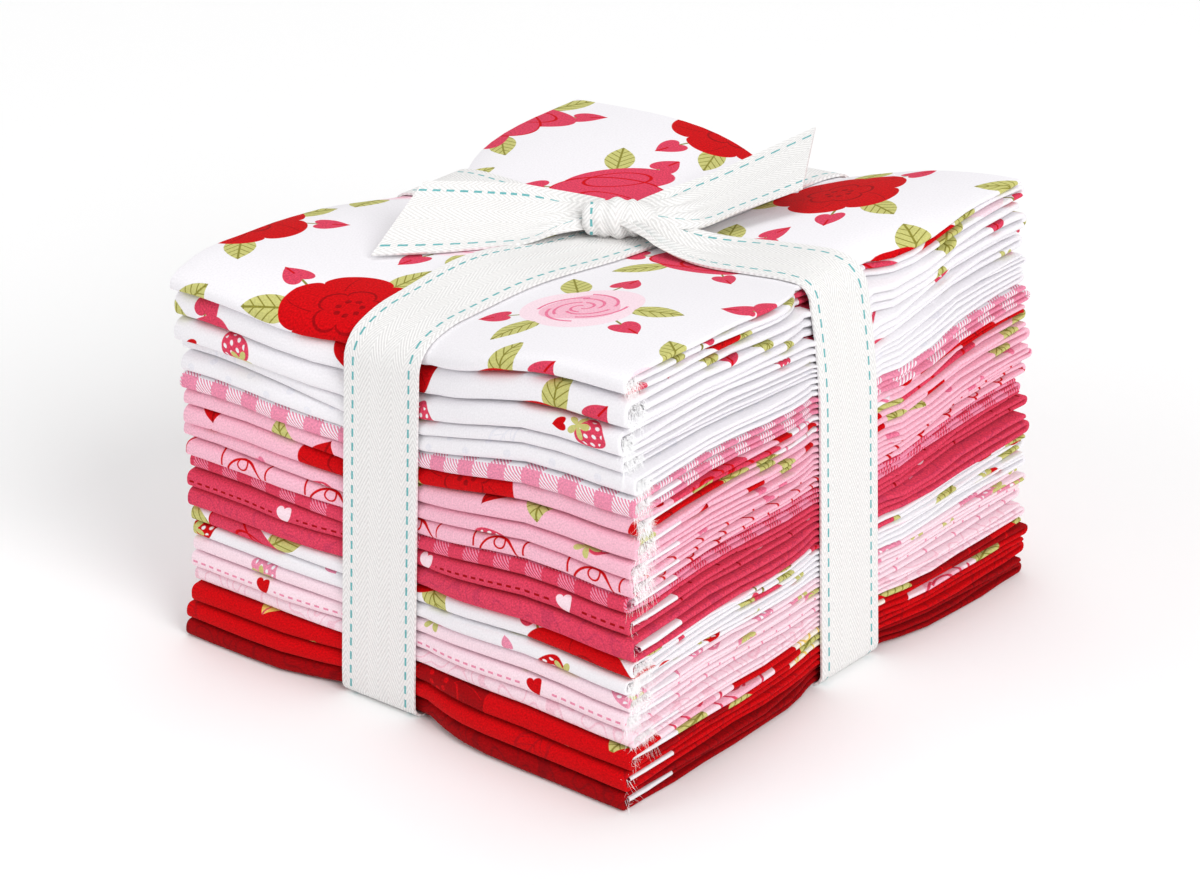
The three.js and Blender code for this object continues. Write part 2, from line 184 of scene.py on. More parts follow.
# %% The pressed and leaning pile
PILE_HEIGHT = 100.4
RISE_X, RISE_Y, TWIST = 0.096, -0.042, 0.00019
KNOT_DIP, DIP_GROWTH = 5.4, 0.013
LIFT = 0.95
DROOP = {"depth": 3.6, "reach": 17.0, "from": 48.0, "fade": 52.0}
END_DROOP, END_REACH = 2.6, 15.0
RIGHT_DROOP = {"depth": 9.0, "reach": 16.0, "behind": 9.0, "width": 16.0}
SWELL = {"rise": 3.4, "place": -36.0, "width": 22.0, "tilt": 0.033}
SAG, SAG_REACH = 2.2, 34.0
RIPPLE = {"size": 0.35, "x": 19.0, "y": 26.0, "z": 30.0, "phase": 0.6}
PAST_EDGE = 1.2


def near_edge(inside, reach):
    """A square that grows from 0, at its reach inside an edge, to 1 on the edge, and a little
    more past it."""
    return np.clip(1 - inside / reach, 0, PAST_EDGE) ** 2


def bell(offset, width):
    """exp(-(offset / width)^2): 1 in the middle, nearly 0 at twice the width."""
    return np.exp(-(offset / width) ** 2)


def settle(x, y, height):
    """Base plus height's share of the pile there; the top leans and twists, ripples, droops to
    its front left edge and the bands' ends, and dips under the bands, under the cross one more on
    its right. In front of the knot the pile swells up under the tape, more on the left. Halfway
    up, the layers also sag at the near corner."""
    along = pull(long_offset(x, y), LONG_BAND)
    across = pull(cross_offset(x, y), CROSS_BAND)
    cross_dip = CROSS_BAND["dip"] + DIP_GROWTH * x
    overlap = LONG_BAND["dip"] + CROSS_BAND["dip"] - KNOT_DIP
    dip = LONG_BAND["dip"] * along + cross_dip * across - overlap * along * across
    slack = (1 - along) * (1 - across)
    ripple = (RIPPLE["size"] * slack * np.sin(x / RIPPLE["x"] + RIPPLE["phase"])
              * np.sin(y / RIPPLE["y"] + height / RIPPLE["z"]))
    base = LIFT * (along + across)
    to_front = near_edge(HALF_Y + y, DROOP["reach"])
    droop = DROOP["depth"] * to_front * ease((DROOP["from"] - x) / DROOP["fade"])
    band_ends = (along * near_edge(HALF_Y - np.abs(y), END_REACH)
                 + across * near_edge(HALF_X + x, END_REACH))
    right_end = (near_edge(HALF_X - x, RIGHT_DROOP["reach"])
                 * bell(cross_offset(x, y) - RIGHT_DROOP["behind"], RIGHT_DROOP["width"]))
    droop = droop + END_DROOP * band_ends + RIGHT_DROOP["depth"] * right_end
    from_middle = np.clip(long_offset(x, y), -LONG_BAND["inner"], LONG_BAND["inner"])
    swell = (SWELL["rise"] * along**2 * (1 - SWELL["tilt"] * from_middle)
             * bell(y - SWELL["place"], SWELL["width"]))
    top = PILE_HEIGHT + RISE_X * x + RISE_Y * y + TWIST * x * y - dip - droop + swell
    share = height / PILE_HEIGHT
    corner = ease((x - HALF_X + SAG_REACH) / SAG_REACH) * ease((SAG_REACH - HALF_Y - y) / SAG_REACH)
    sag = SAG * corner * 4 * share * (1 - share)
    return base + (top - base) * share + ripple * share - sag


print("pile top, middle and front right corner:", round(float(settle(0, 0, PILE_HEIGHT)), 1),
      round(float(settle(HALF_X, -HALF_Y, PILE_HEIGHT)), 1), "mm")

# %% [markdown]
# ## From a grid to a sheet
# Cloth and tape are thin, so each is drawn as a grid of points on its middle surface and then
# given two skins and a rim. Solidify would do this too, but here the two skins keep their own
# finish, and the grid's own coordinates become the UV map in which the prints are drawn.

# %% Two skins and a rim


def slab(points, thickness):
    """Skins at plus and minus half the thickness along the normals, the cross products of the
    grid's two step directions, joined by a rim. Returns vertices, faces and each face's skin."""
    normal = np.cross(np.gradient(points, axis=0), np.gradient(points, axis=1))
    normal /= np.linalg.norm(normal, axis=2, keepdims=True)
    skins = np.stack([points + normal * thickness / 2, points - normal * thickness / 2])
    face, reverse = np.arange(skins[..., 0].size).reshape(skins.shape[:3])

    def quads(a, b, c, d):
        return np.stack([a, b, c, d], axis=-1).reshape(-1, 4)

    front = quads(face[:-1, :-1], face[1:, :-1], face[1:, 1:], face[:-1, 1:])
    rear = quads(reverse[:-1, :-1], reverse[:-1, 1:], reverse[1:, 1:], reverse[1:, :-1])
    rims = [
        quads(face[0, :-1], face[0, 1:], reverse[0, 1:], reverse[0, :-1]),
        quads(face[-1, 1:], face[-1, :-1], reverse[-1, :-1], reverse[-1, 1:]),
        quads(face[1:, 0], face[:-1, 0], reverse[:-1, 0], reverse[1:, 0]),
        quads(face[:-1, -1], face[1:, -1], reverse[1:, -1], reverse[:-1, -1]),
    ]
    faces = np.concatenate([front, rear, *rims])
    skin = np.ones(len(faces), dtype=np.int32)
    skin[:len(front)] = 0
    return skins.reshape(-1, 3), faces, skin


def sheet_part(points, thickness, along, across):
    """A slab of the grid, with the UV map (along, across) on both skins."""
    uv = np.stack(np.broadcast_arrays(along, across), axis=-1).reshape(-1, 2)
    return (*slab(points, thickness), np.concatenate([uv, uv]))


one_square = np.array([[(0, 0, 0), (0, 1, 0)], [(1, 0, 0), (1, 1, 0)]], dtype=float)
print("faces round one square of cloth:", len(slab(one_square, 0.1)[1]))

# %% Parts to a piece
SHARP_ANGLE = radians(55)


def join(parts):
    """Several (vertices, faces, skin, uv) parts as one, with each part's faces renumbered."""
    vertices, faces, skins, uvs = zip(*parts)
    starts = np.cumsum([0] + [len(part) for part in vertices[:-1]])
    numbered = [part + start for part, start in zip(faces, starts)]
    return [np.concatenate(column) for column in (vertices, numbered, skins, uvs)]


def make_piece(name, vertices, faces, skin, uv, materials):
    """Puts vertices in mm, faces, their skins and a UV map in mm into a smooth mesh object."""
    mesh = bpy.data.meshes.new(name)
    mesh.from_pydata((vertices * MM).tolist(), [], faces.tolist())
    for material in materials:
        mesh.materials.append(material)
    mesh.polygons.foreach_set("material_index", np.minimum(skin, len(materials) - 1))
    corners = np.empty(len(mesh.loops), dtype=np.int32)
    mesh.loops.foreach_get("vertex_index", corners)
    layer = mesh.uv_layers.new(name="cloth")
    layer.uv.foreach_set("vector", uv[corners].astype(np.float32).ravel())
    mesh.shade_smooth()
    mesh.set_sharp_from_angle(angle=SHARP_ANGLE)
    piece = bpy.data.objects.new(name, mesh)
    scene.collection.objects.link(piece)
    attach(piece, BODY)
    return piece


print("folds sharper than this stay crisp:", round(np.degrees(SHARP_ANGLE)), "degrees")

# %% [markdown]
# ## Formulas in a material
# A print is a picture drawn by arithmetic: how far is this spot from the middle of a flower, and
# is that inside the petal's edge? Math nodes can say all of that, but a tree of them is hard to
# read. A small class lets the same nodes be written as ordinary sums.

# %% Numbers that vary over the cloth
SOFT_EDGE = 0.16
OPERATIONS = {
    "__add__": "ADD", "__sub__": "SUBTRACT", "__mul__": "MULTIPLY", "__truediv__": "DIVIDE",
    "__pow__": "POWER", "__abs__": "ABSOLUTE", "__or__": "MAXIMUM", "__and__": "MINIMUM",
    "sin": "SINE", "cos": "COSINE", "floor": "FLOOR", "fract": "FRACT", "below": "LESS_THAN",
}


def add_node(tree, kind, inputs, **choices):
    """A shader node with its choices made. Each input, called by its name or number, is linked to
    another node's output or set to a number or colour."""
    node = tree.nodes.new("ShaderNode" + kind)
    for name, choice in choices.items():
        setattr(node, name, choice)
    for place, value in inputs.items():
        if isinstance(value, bpy.types.NodeSocket):
            tree.links.new(value, node.inputs[place])
        else:
            node.inputs[place].default_value = value
    return node


class Field:
    """A number that varies over the cloth. Each sum or function on it adds one Math node. Of two
    masks, | is where either is and & is where both are."""

    def __init__(self, tree, socket):
        self.tree = tree
        self.socket = socket

    def math(self, operation, *values, clamp=False):
        """One Math node on plain numbers and varying ones."""
        sources = [value.socket if isinstance(value, Field) else value for value in values]
        node = add_node(self.tree, "Math", dict(enumerate(sources)),
                        operation=operation, use_clamp=clamp)
        return Field(self.tree, node.outputs[0])

    def __radd__(self, other):
        return self.math("ADD", other, self)

    def __rsub__(self, other):
        return self.math("SUBTRACT", other, self)

    def inside(self):
        """1 where a distance is below 0 and 0 above, softened over a thread's width."""
        return self.math("MULTIPLY_ADD", self, -1 / SOFT_EDGE, 0.5, clamp=True)

    def line(self, width):
        """A line of that width where the number is 0."""
        return (abs(self) - width / 2).inside()

    def wave(self, pitch):
        """Goes from -1 to 1 and back once in each pitch."""
        return (self * (2 * pi / pitch)).sin()


def math_method(operation):
    """A method that adds one Math node on a number and on what else it is given."""
    return lambda field, *others: field.math(operation, field, *others)


for name, operation in OPERATIONS.items():
    setattr(Field, name, math_method(operation))
print("sums and functions that a print can use:", len(OPERATIONS))

# %% Round a middle


def length(x, y):
    """Distance from the middle."""
    return (x * x + y * y) ** 0.5


def polar(x, y):
    """Distance from the middle, and the angle as a share of a whole turn."""
    return length(x, y), x.math("ARCTAN2", y, x) * (0.5 / pi)


def spun(reach, share, count, phase, out):
    """Local coordinates of `count` like places set round the middle, each `out` from it."""
    angle = ((share * count + phase).fract() - 0.5) * (2 * pi / count)
    return reach * angle.cos() - out, reach * angle.sin()


print("helpers for round motifs:", [helper.__name__ for helper in (length, polar, spun)])

# %% [markdown]
# ## Cotton
# The cloth itself is a plain-woven quilting cotton: matt, with threads just too fine to count at
# arm's length, which leave a slight grain in solid colour. Each print starts from its ground
# colour, paints one mask after another over it, and ends with that grain and the weave's bump.

# %% Colour


def ink(red, green, blue):
    """An sRGB colour as linear light: ((c + 0.055) / 1.055) ^ 2.4, or c / 12.92 when dark."""
    rgb = np.array((red, green, blue))
    linear = np.where(rgb > 0.04045, ((rgb + 0.055) / 1.055) ** 2.4, rgb / 12.92)
    return (*linear.tolist(), 1.0)


print("mid grey as linear light:", round(ink(0.5, 0.5, 0.5)[0], 3))

# %% A printed cotton
THREAD = 0.46
GRAIN = {"size": 0.6, "scale": 2.1, "detail": 2.0, "ink": 1.05}
WEAVE_BUMP = {"Strength": 0.15, "Distance": 0.08 * MM}
COTTON = {"Roughness": 0.86, "Sheen Weight": 0.02, "Specular IOR Level": 0.08}


class Print:
    """A cotton's material while it is being printed. x and y are millimetres on the cloth."""

    def __init__(self, name, ground, shift=(0.0, 0.0)):
        self.material = bpy.data.materials.new(name)
        self.material.use_nodes = True
        self.tree = self.material.node_tree
        self.shader = self.tree.nodes["Principled BSDF"]
        self.places = add_node(self.tree, "UVMap", {}, uv_map="cloth").outputs[0]
        apart = add_node(self.tree, "SeparateXYZ", {0: self.places})
        self.x = Field(self.tree, apart.outputs["X"]) + shift[0]
        self.y = Field(self.tree, apart.outputs["Y"]) + shift[1]
        self.colour = ground

    def paint(self, mask, colour):
        """Lays a colour over the print wherever the mask is 1. A colour Mix node has its two
        colours in sockets 6 and 7, and its result in output 2."""
        mix = add_node(self.tree, "Mix", {"Factor": mask.socket, 6: self.colour, 7: colour},
                       data_type="RGBA")
        self.colour = mix.outputs[2]

    def cells(self, pitch, seed, jitter=0.0, spin=1.0):
        """A half-drop repeat: local x and y in each cell, turned at random, and the cell's row.
        Random numbers are hashed from the cell's column and row and a seed."""
        across = self.x / pitch[0]
        column = across.floor()
        along = self.y / pitch[1] + column * 0.5
        row = along.floor()
        key = add_node(self.tree, "CombineXYZ", {"X": column.socket, "Y": row.socket, "Z": seed})
        hashed = add_node(self.tree, "TexWhiteNoise", {"Vector": key.outputs[0]},
                          noise_dimensions="3D")
        chance = add_node(self.tree, "SeparateColor", {0: hashed.outputs["Color"]})
        turn, slide_x, slide_y = (Field(self.tree, out) for out in chance.outputs)
        x = (across - column - 0.5) * pitch[0]
        y = (along - row - 0.5) * pitch[1]
        if jitter:
            x = x + (slide_x - 0.5) * jitter
            y = y + (slide_y - 0.5) * jitter
        angle = (turn - 0.5) * (2 * pi * spin)
        cos, sin = angle.cos(), angle.sin()
        return x * cos + y * sin, y * cos - x * sin, row

    def green(self):
        """The green in the colour so far: near 1 on white cloth and near 0 in red ink."""
        if isinstance(self.colour, tuple):
            return self.colour[1]
        apart = add_node(self.tree, "SeparateColor", {0: self.colour})
        return Field(self.tree, apart.outputs["Green"])

    def emboss(self, height, bump):
        """Lets a height bump the surface."""
        raised = add_node(self.tree, "Bump", {**bump, "Height": height.socket})
        self.tree.links.new(raised.outputs[0], self.shader.inputs["Normal"])

    def finish(self):
        """Pale thread tips speckle the ink, 1 + grain * noise * (1.05 - green); then the weave's
        bump and a matt surface with a little sheen."""
        noise = add_node(self.tree, "TexNoise", {"Vector": self.places, "Scale": GRAIN["scale"],
                                                 "Detail": GRAIN["detail"]})
        speckle = Field(self.tree, noise.outputs["Fac"])
        weave = self.x.wave(THREAD) * self.y.wave(THREAD)
        shade = 1.0 + (speckle - 0.5) * (2 * GRAIN["size"]) * (GRAIN["ink"] - self.green())
        plain = isinstance(self.colour, tuple)
        tone = add_node(self.tree, "VectorMath", {0: self.colour[:3] if plain else self.colour,
                                                  "Scale": shade.socket}, operation="SCALE")
        self.tree.links.new(tone.outputs[0], self.shader.inputs["Base Color"])
        self.emboss(weave + speckle, WEAVE_BUMP)
        for name, value in COTTON.items():
            self.shader.inputs[name].default_value = value
        return self.material


print("threads to the millimetre:", round(2 / THREAD, 1))

# %% [markdown]
# ## Motifs
# The prints share a few motifs, each a formula in its own small coordinates: a rose of curled
# petals, a five-petalled blossom, a tulip, a veined leaf, a berry and a heart. They are plain
# drawing-book flowers, set out in a layout of our own.

# %% Flowers
CURL_RINGS = ((2, 0.16, 0.16, 0.1), (3, 0.37, 0.2, 0.55), (4, 0.6, 0.2, 0.2))


def rose(x, y, size):
    """A soft bloom, a deeper heart in it, and three rings of curled petal lines,
    r = base + slope * sawtooth."""
    reach, share = polar(x, y)
    bloom = (reach - abs((share * (3 * pi)).cos()) * (0.14 * size) - 0.86 * size).inside()
    middle = (reach - (share * 3).wave(1) * (0.05 * size) - 0.62 * size).inside()
    curls = [(reach - ((share * count + phase).fract() - 0.5) * (slope * size) - base * size).line(0.75)
             for count, base, slope, phase in CURL_RINGS]
    return bloom, middle, curls[0] | curls[1] | curls[2]


def blossom(x, y, size):
    """Five broad petals, r = size * (0.8 + 0.2 |cos 2.5 a|^0.5), seams that swirl inwards, and a
    smaller ring of five drawn in line round a ring of dots."""
    reach, share = polar(x, y)
    petals = (reach - abs((share * (5 * pi)).cos()) ** 0.5 * (0.2 * size) - 0.8 * size).inside()
    swirl = share + reach * (0.1 / size)
    outer_part = (abs(reach - 0.72 * size) - 0.22 * size).inside()
    seams = ((swirl * (5 * pi)).cos() * reach).line(0.6) & outer_part
    inner = abs(((share + 0.06) * (5 * pi)).cos()) ** 0.5 * (0.16 * size)
    ring = (reach - inner - 0.32 * size).line(0.65)
    dot_x, dot_y = spun(reach, share, 7, 0.0, 0.17 * size)
    dots = (length(dot_x, dot_y) - 0.045 * size).inside()
    return petals, seams | ring | dots


def tulip(x, y, size):
    """A middle petal between two outer ones: ellipses, the outer pair mirrored across x = 0."""
    middle = length(x / (0.44 * size), (y + 0.05 * size) / (0.92 * size)) - 1
    outer_x = abs(x) - 0.36 * size
    leaning = outer_x - y * 0.28
    outer = length(leaning / (0.42 * size), (y - 0.06 * size) / (0.86 * size)) - 1
    cup = (middle * size * 0.5).inside() | (outer * size * 0.5).inside()
    folds = (middle * size * 0.5).line(0.6) | ((outer + 0.42) * size * 0.5).line(0.5)
    return cup, folds & cup


print("flowers:", [flower.__name__ for flower in (rose, blossom, tulip)])

# %% Leaves, hearts and berries
VEIN_PITCH, VEIN_SLANT = 2.6, -1.1
SEED_ROW, SEED_PITCH = 2.2, 2.0


def leaf(x, y, long, wide):
    """|y| < wide * (1 - (x / long)^2), with a middle vein and slanted side veins."""
    bent = x / long
    blade = (abs(y) - (1 - bent * bent) * wide).inside()
    ribs = ((x + abs(y) * VEIN_SLANT) / VEIN_PITCH).fract() - 0.5
    veins = y.line(0.5) | (abs(ribs) * VEIN_PITCH - 0.22).inside()
    return blade, veins


def heart(x, y, size):
    """A circle in coordinates where y drops by the root of |x|."""
    dropped = y - (abs(x) / size + 0.02) ** 0.6 * (0.75 * size)
    return (length(x * 1.05, dropped + 0.2 * size) - 0.85 * size).inside()


def berry(x, y, size):
    """An ellipse that narrows to its tip, rows of seeds on it, and a five-leaved cap."""
    half_width = y * 0.36 + 0.82 * size
    body = ((length(x / half_width, y / size) - 1) * size * 0.7).inside()
    seed_x = (x / SEED_PITCH + (y / SEED_ROW).floor() * 0.5).fract() - 0.5
    seed_y = (y / SEED_ROW).fract() - 0.5
    middle = (length(x, y) - 0.72 * size).inside()
    seeds = (length(seed_x * SEED_PITCH, seed_y * 1.4) - 0.42).inside() & middle
    reach, share = polar(x, y - 0.86 * size)
    lobes = abs((share * (5 * pi)).cos())
    cap = (reach - lobes * (0.62 * size) - 0.1 * size).inside()
    return body, seeds, cap


print("small motifs:", [motif.__name__ for motif in (leaf, heart, berry)])

# %% [markdown]
# ## The garden prints
# The largest print is a scatter of big flowers. One flower stands in each cell of a half-drop
# repeat, with leaves and sprigs of buds spun round it, and the cell's row decides its kind.
# Every other garden print is the same recipe with other inks, so it is one function.

# %% Inks
WHITE = ink(0.955, 0.945, 0.96)
CREAM = ink(0.96, 0.93, 0.88)
BLUSH = ink(0.98, 0.88, 0.915)
LIGHT_PINK = ink(0.965, 0.74, 0.81)
PINK = ink(0.92, 0.56, 0.67)
MID_PINK = ink(0.92, 0.48, 0.61)
ROSE = ink(0.86, 0.26, 0.37)
RED = ink(0.80, 0.015, 0.05)
DARK_RED = ink(0.62, 0.01, 0.04)
OLIVE = ink(0.55, 0.53, 0.22)
PALE_OLIVE = ink(0.79, 0.78, 0.48)
YELLOW = ink(0.93, 0.80, 0.42)
WARM_INKS = {"leaf": PALE_OLIVE, "stem": OLIVE, "bud": ROSE, "crease": RED, "rose": BLUSH,
             "middle": LIGHT_PINK, "curl": MID_PINK, "blossom": RED, "seam": DARK_RED,
             "tulip": ROSE, "fold": RED}
ON_PINK = {**WARM_INKS, "rose": ROSE, "middle": ROSE, "curl": RED, "bud": RED, "crease": DARK_RED,
           "tulip": WHITE, "fold": MID_PINK}
ON_RED = {**WARM_INKS, "curl": ROSE, "bud": YELLOW, "crease": ROSE, "blossom": DARK_RED,
          "seam": RED, "tulip": CREAM, "fold": YELLOW}
print("inks in a garden print:", len(WARM_INKS))

# %% Garden prints
GARDEN_PITCH = (51.0, 49.0)
FLOWER = 14.6
STEM_BEND = 0.012


def garden_print(name, ground, shift, seed, inks):
    """Roses, blossoms and tulips in turn, each with three leaves and three buds on stems."""
    cotton = Print(name, ground, shift)
    x, y, row = cotton.cells(GARDEN_PITCH, seed, spin=0.8)
    kind = ((row * 2 + 1) / 3).fract()
    is_rose = kind.below(0.2)
    is_tulip = (0.5 - kind).below(0.0)
    is_blossom = 1 - is_rose - is_tulip
    reach, share = polar(x, y)
    bud_x, bud_y = spun(reach, share, 3, 0.3, 1.42 * FLOWER)
    stem = (bud_y - bud_x * bud_x * STEM_BEND).line(0.6) & (reach - 1.4 * FLOWER).inside()
    bud = heart(bud_y, bud_x * -1, 0.3 * FLOWER)
    crease = bud & bud_y.line(0.55) & (bud_x * -1).inside()
    leaf_x, leaf_y = spun(reach, share, 3, 0.0, 1.2 * FLOWER)
    blade, veins = leaf(leaf_x, leaf_y, 0.52 * FLOWER, 0.25 * FLOWER)
    bloom, middle, curls = rose(x, y, 1.02 * FLOWER)
    petals, seams = blossom(x, y, 1.08 * FLOWER)
    cup, folds = tulip(x, y, 1.1 * FLOWER)
    layers = [
        (stem, "stem"), (bud, "bud"), (crease, "crease"), (blade, "leaf"), (blade & veins, "stem"),
        (bloom & is_rose, "rose"), (middle & is_rose, "middle"), (bloom & curls & is_rose, "curl"),
        (petals & is_blossom, "blossom"), (petals & seams & is_blossom, "seam"),
        (cup & is_tulip, "tulip"), (folds & is_tulip, "fold"),
    ]
    for mask, part in layers:
        cotton.paint(mask, inks[part])
    return cotton.finish()


GARDENS = {
    "white_garden_print": (WHITE, (97.0, -8.0), 3.0, WARM_INKS),
    "blush_garden_print": (WHITE, (31.0, 17.0), 5.0, WARM_INKS),
    "pink_garden_print": (LIGHT_PINK, (5.0, 21.0), 7.0, ON_PINK),
    "pink_bloom_print": (LIGHT_PINK, (40.0, 25.0), 8.0, ON_PINK),
    "cream_garden_print": (WHITE, (24.0, 8.0), 9.0, WARM_INKS),
    "red_garden_print": (RED, (14.0, 23.0), 2.0, ON_RED),
}
prints = {name: garden_print(name, *recipe) for name, recipe in GARDENS.items()}
print("garden prints:", len(prints))

# %% [markdown]
# ## Berries, checks and stitched hearts
# The smaller prints are simple repeats.

# %% Small repeats
BERRY_PITCH, BERRY, BERRY_HEART = (27.0, 25.0), 4.6, 2.0
CHECK, HATCH, HATCH_SHARE = 9.4, 0.95, 0.52
STITCH_ROW, STITCH, DASH = 10.5, 2.6, 0.55
HEART_PITCH, HEART, HEART_ROOM = (21.0, 21.0), 2.5, 3.6


def berry_print(name, ground, shift, seed, berry_ink, heart_ink):
    """One berry in each cell, turned at random, and a small heart between."""
    cotton = Print(name, ground, shift)
    x, y, _ = cotton.cells(BERRY_PITCH, seed, jitter=7.0)
    for mask, colour in zip(berry(x, y, BERRY), (berry_ink, WHITE, PALE_OLIVE)):
        cotton.paint(mask, colour)
    cotton.x = cotton.x + BERRY_PITCH[0] / 2
    x, y, _ = cotton.cells(BERRY_PITCH, seed + 0.5, jitter=6.0)
    cotton.paint(heart(x, y, BERRY_HEART), heart_ink)
    return cotton.finish()


def check_print(name, ground, shift, colour):
    """Full colour where both stripes meet, a slanted hatch where one runs alone."""
    cotton = Print(name, ground, shift)
    up_stripe = (cotton.x / CHECK).fract().below(0.5)
    cross_stripe = (cotton.y / CHECK).fract().below(0.5)
    hatch = ((cotton.x + cotton.y) / HATCH).fract().below(HATCH_SHARE)
    cotton.paint((up_stripe & cross_stripe) | ((up_stripe | cross_stripe) & hatch), colour)
    return cotton.finish()


def heart_stitch_print(name, ground, shift, heart_ink, stitch_ink):
    """Rows of dashes, and hearts set on every other row of them."""
    cotton = Print(name, ground, shift)
    from_row = ((cotton.y / STITCH_ROW).fract() - 0.5) * STITCH_ROW
    dash = (cotton.x / STITCH).fract().below(DASH)
    cotton.paint(from_row.line(0.6) & dash, stitch_ink)
    cotton.y = cotton.y + STITCH_ROW / 2
    x, y, _ = cotton.cells(HEART_PITCH, 4.0, spin=0.12)
    cotton.paint((length(x, y) - HEART_ROOM).inside(), ground)
    cotton.paint(heart(x, y, HEART), heart_ink)
    return cotton.finish()


small_designs = (berry_print, check_print, heart_stitch_print)
print("small designs:", [design.__name__ for design in small_designs])

# %% Cloths with small repeats
SMALL_REPEATS = [
    (berry_print, "white_strawberry_print", WHITE, (6.0, 12.0), 2.0, ROSE, RED),
    (berry_print, "pink_strawberry_print", LIGHT_PINK, (14.0, 3.0), 6.0, ROSE, MID_PINK),
    (berry_print, "cream_strawberry_print", WHITE, (21.0, 12.0), 11.0, RED, PINK),
    (berry_print, "pale_pink_bud_print", BLUSH, (3.0, 8.0), 13.0, PINK, ROSE),
    (check_print, "pink_gingham", WHITE, (0.0, 2.3), PINK),
    (check_print, "rose_gingham", PINK, (4.0, 2.3), ROSE),
    (heart_stitch_print, "rose_heart_stitch", ROSE, (3.0, STITCH_ROW / 2), BLUSH, DARK_RED),
    (heart_stitch_print, "pale_pink_heart_stitch", BLUSH, (11.0, STITCH_ROW / 2), RED, PINK),
]
prints |= {name: recipe(name, *inks) for recipe, name, *inks in SMALL_REPEATS}
print("prints so far:", len(prints))

# %% [markdown]
# ## Tone-on-tone cloths
# Blenders fill the pile between the busy prints: one ground with a drawing a shade lighter or
# darker. Leaves, spots, scallops and a wandering line are enough.

# %% Tonal designs
SPOT_PITCH = 6.0
SCALLOP_PITCH = (13.0, 10.0)
ARCH = {"foot": 4.0, "flatten": 0.8, "radius": 6.0}
LOOP = {"rise": 2.2, "radius": 1.5}
WANDER = {"scale": 0.09, "levels": 9.0, "fall": -12.0, "start": 1.6}


def tonal_leaf_print(name, ground, tone, seed, long):
    """Leaves with their veins left bare, turned at random."""
    cotton = Print(name, ground)
    x, y, _ = cotton.cells((3 * long, 2.4 * long), seed, jitter=0.4 * long)
    blade, veins = leaf(x, y, long, 0.42 * long)
    rim = (abs(abs(y) - (1 - (x / long) * (x / long)) * (0.42 * long))).line(0.7)
    cotton.paint((blade & veins) | (rim & (abs(x) - long).inside()), tone)
    return cotton.finish()


def tonal_spot_print(name, ground, tone):
    """Small round spots in a half-drop repeat."""
    cotton = Print(name, ground)
    x, y, _ = cotton.cells((SPOT_PITCH, SPOT_PITCH), 1.0)
    cotton.paint((length(x, y) - 0.17 * SPOT_PITCH).inside(), tone)
    return cotton.finish()


def scallop_print(name, ground, line_ink, shift):
    """Overlapping arcs: in each cell a ring about the middle of its foot, and a small loop."""
    cotton = Print(name, ground, shift)
    x, y, _ = cotton.cells(SCALLOP_PITCH, 1.0, spin=0.04)
    arch = (length(x, (y + ARCH["foot"]) * ARCH["flatten"]) - ARCH["radius"]).line(0.55)
    loop = (length(x, y - LOOP["rise"]) - LOOP["radius"]).line(0.5)
    cotton.paint(arch | loop, line_ink)
    return cotton.finish()


def wander_print(name, ground, tone):
    """Contour lines of a smooth noise, so that lines wander without crossing."""
    cotton = Print(name, ground)
    noise = add_node(cotton.tree, "TexNoise", {"Vector": cotton.places, "Scale": WANDER["scale"],
                                               "Detail": 1.0})
    level = (Field(cotton.tree, noise.outputs["Fac"]) * WANDER["levels"]).fract() - 0.5
    lines = level.math("MULTIPLY_ADD", abs(level), WANDER["fall"], WANDER["start"], clamp=True)
    cotton.paint(lines, tone)
    return cotton.finish()


tonal_designs = (tonal_leaf_print, tonal_spot_print, scallop_print, wander_print)
print("tonal designs:", [design.__name__ for design in tonal_designs])

# %% Tone-on-tone cloths
SHADE_WHITE = ink(0.925, 0.92, 0.945)
DEEP_ROSE = ink(0.80, 0.24, 0.36)
SOFT_BLUSH = ink(0.96, 0.79, 0.84)
MID_RED = ink(0.70, 0.03, 0.07)
DEEP_RED = ink(0.54, 0.02, 0.05)
TONALS = [
    (tonal_leaf_print, "white_tonal_leaf", WHITE, SHADE_WHITE, 3.0, 7.0),
    (tonal_spot_print, "white_tonal_spot", WHITE, SHADE_WHITE),
    (scallop_print, "pink_scallop_print", LIGHT_PINK, RED, (2.0, 6.0)),
    (wander_print, "rose_tonal", ROSE, DEEP_ROSE),
    (wander_print, "pale_pink_tonal", BLUSH, SOFT_BLUSH),
    (tonal_leaf_print, "red_tonal_leaf", RED, MID_RED, 5.0, 9.0),
    (wander_print, "dark_red_tonal", DARK_RED, DEEP_RED),
]
prints |= {name: recipe(name, *inks) for recipe, name, *inks in TONALS}
print("prints in all:", len(prints))

# %% Unprinted cotton


def bare_cotton(name, colour):
    """The unprinted back of the cloth, and its cut threads."""
    return Print(name, colour).finish()


pale_back = bare_cotton("pale_back", WHITE)
pink_back = bare_cotton("pink_back", BLUSH)
rose_back = bare_cotton("rose_back", PINK)
red_back = bare_cotton("red_back", ROSE)
print("backs:", [back.name for back in (pale_back, pink_back, rose_back, red_back)])

# %% [markdown]
# ## Folding one cloth
# A quarter is first folded in four across its width, so that its layers end in a big fold with
# a smaller one inside. That thin stack is then folded in three along its length: the top third
# comes over the front in a rounded nose, and the free end lies inside. Both folds are flat
# curves, so the cloth is a product of the two: the first curve is carried along the second.

# %% Folded in four
CROWD, CROWD_WIDTH, CROWD_SAMPLES = 2.6, 8.0, 500
BIG_ROUND, SMALL_ROUND = 8, 5
INNER_FOLD = 1.6
LOW_CUT, INNER_CUT = 0.6, 1.4


def stretch(start, end, steps):
    """Evenly spaced numbers from start up to, but without, end."""
    return np.linspace(start, end, steps, endpoint=False)


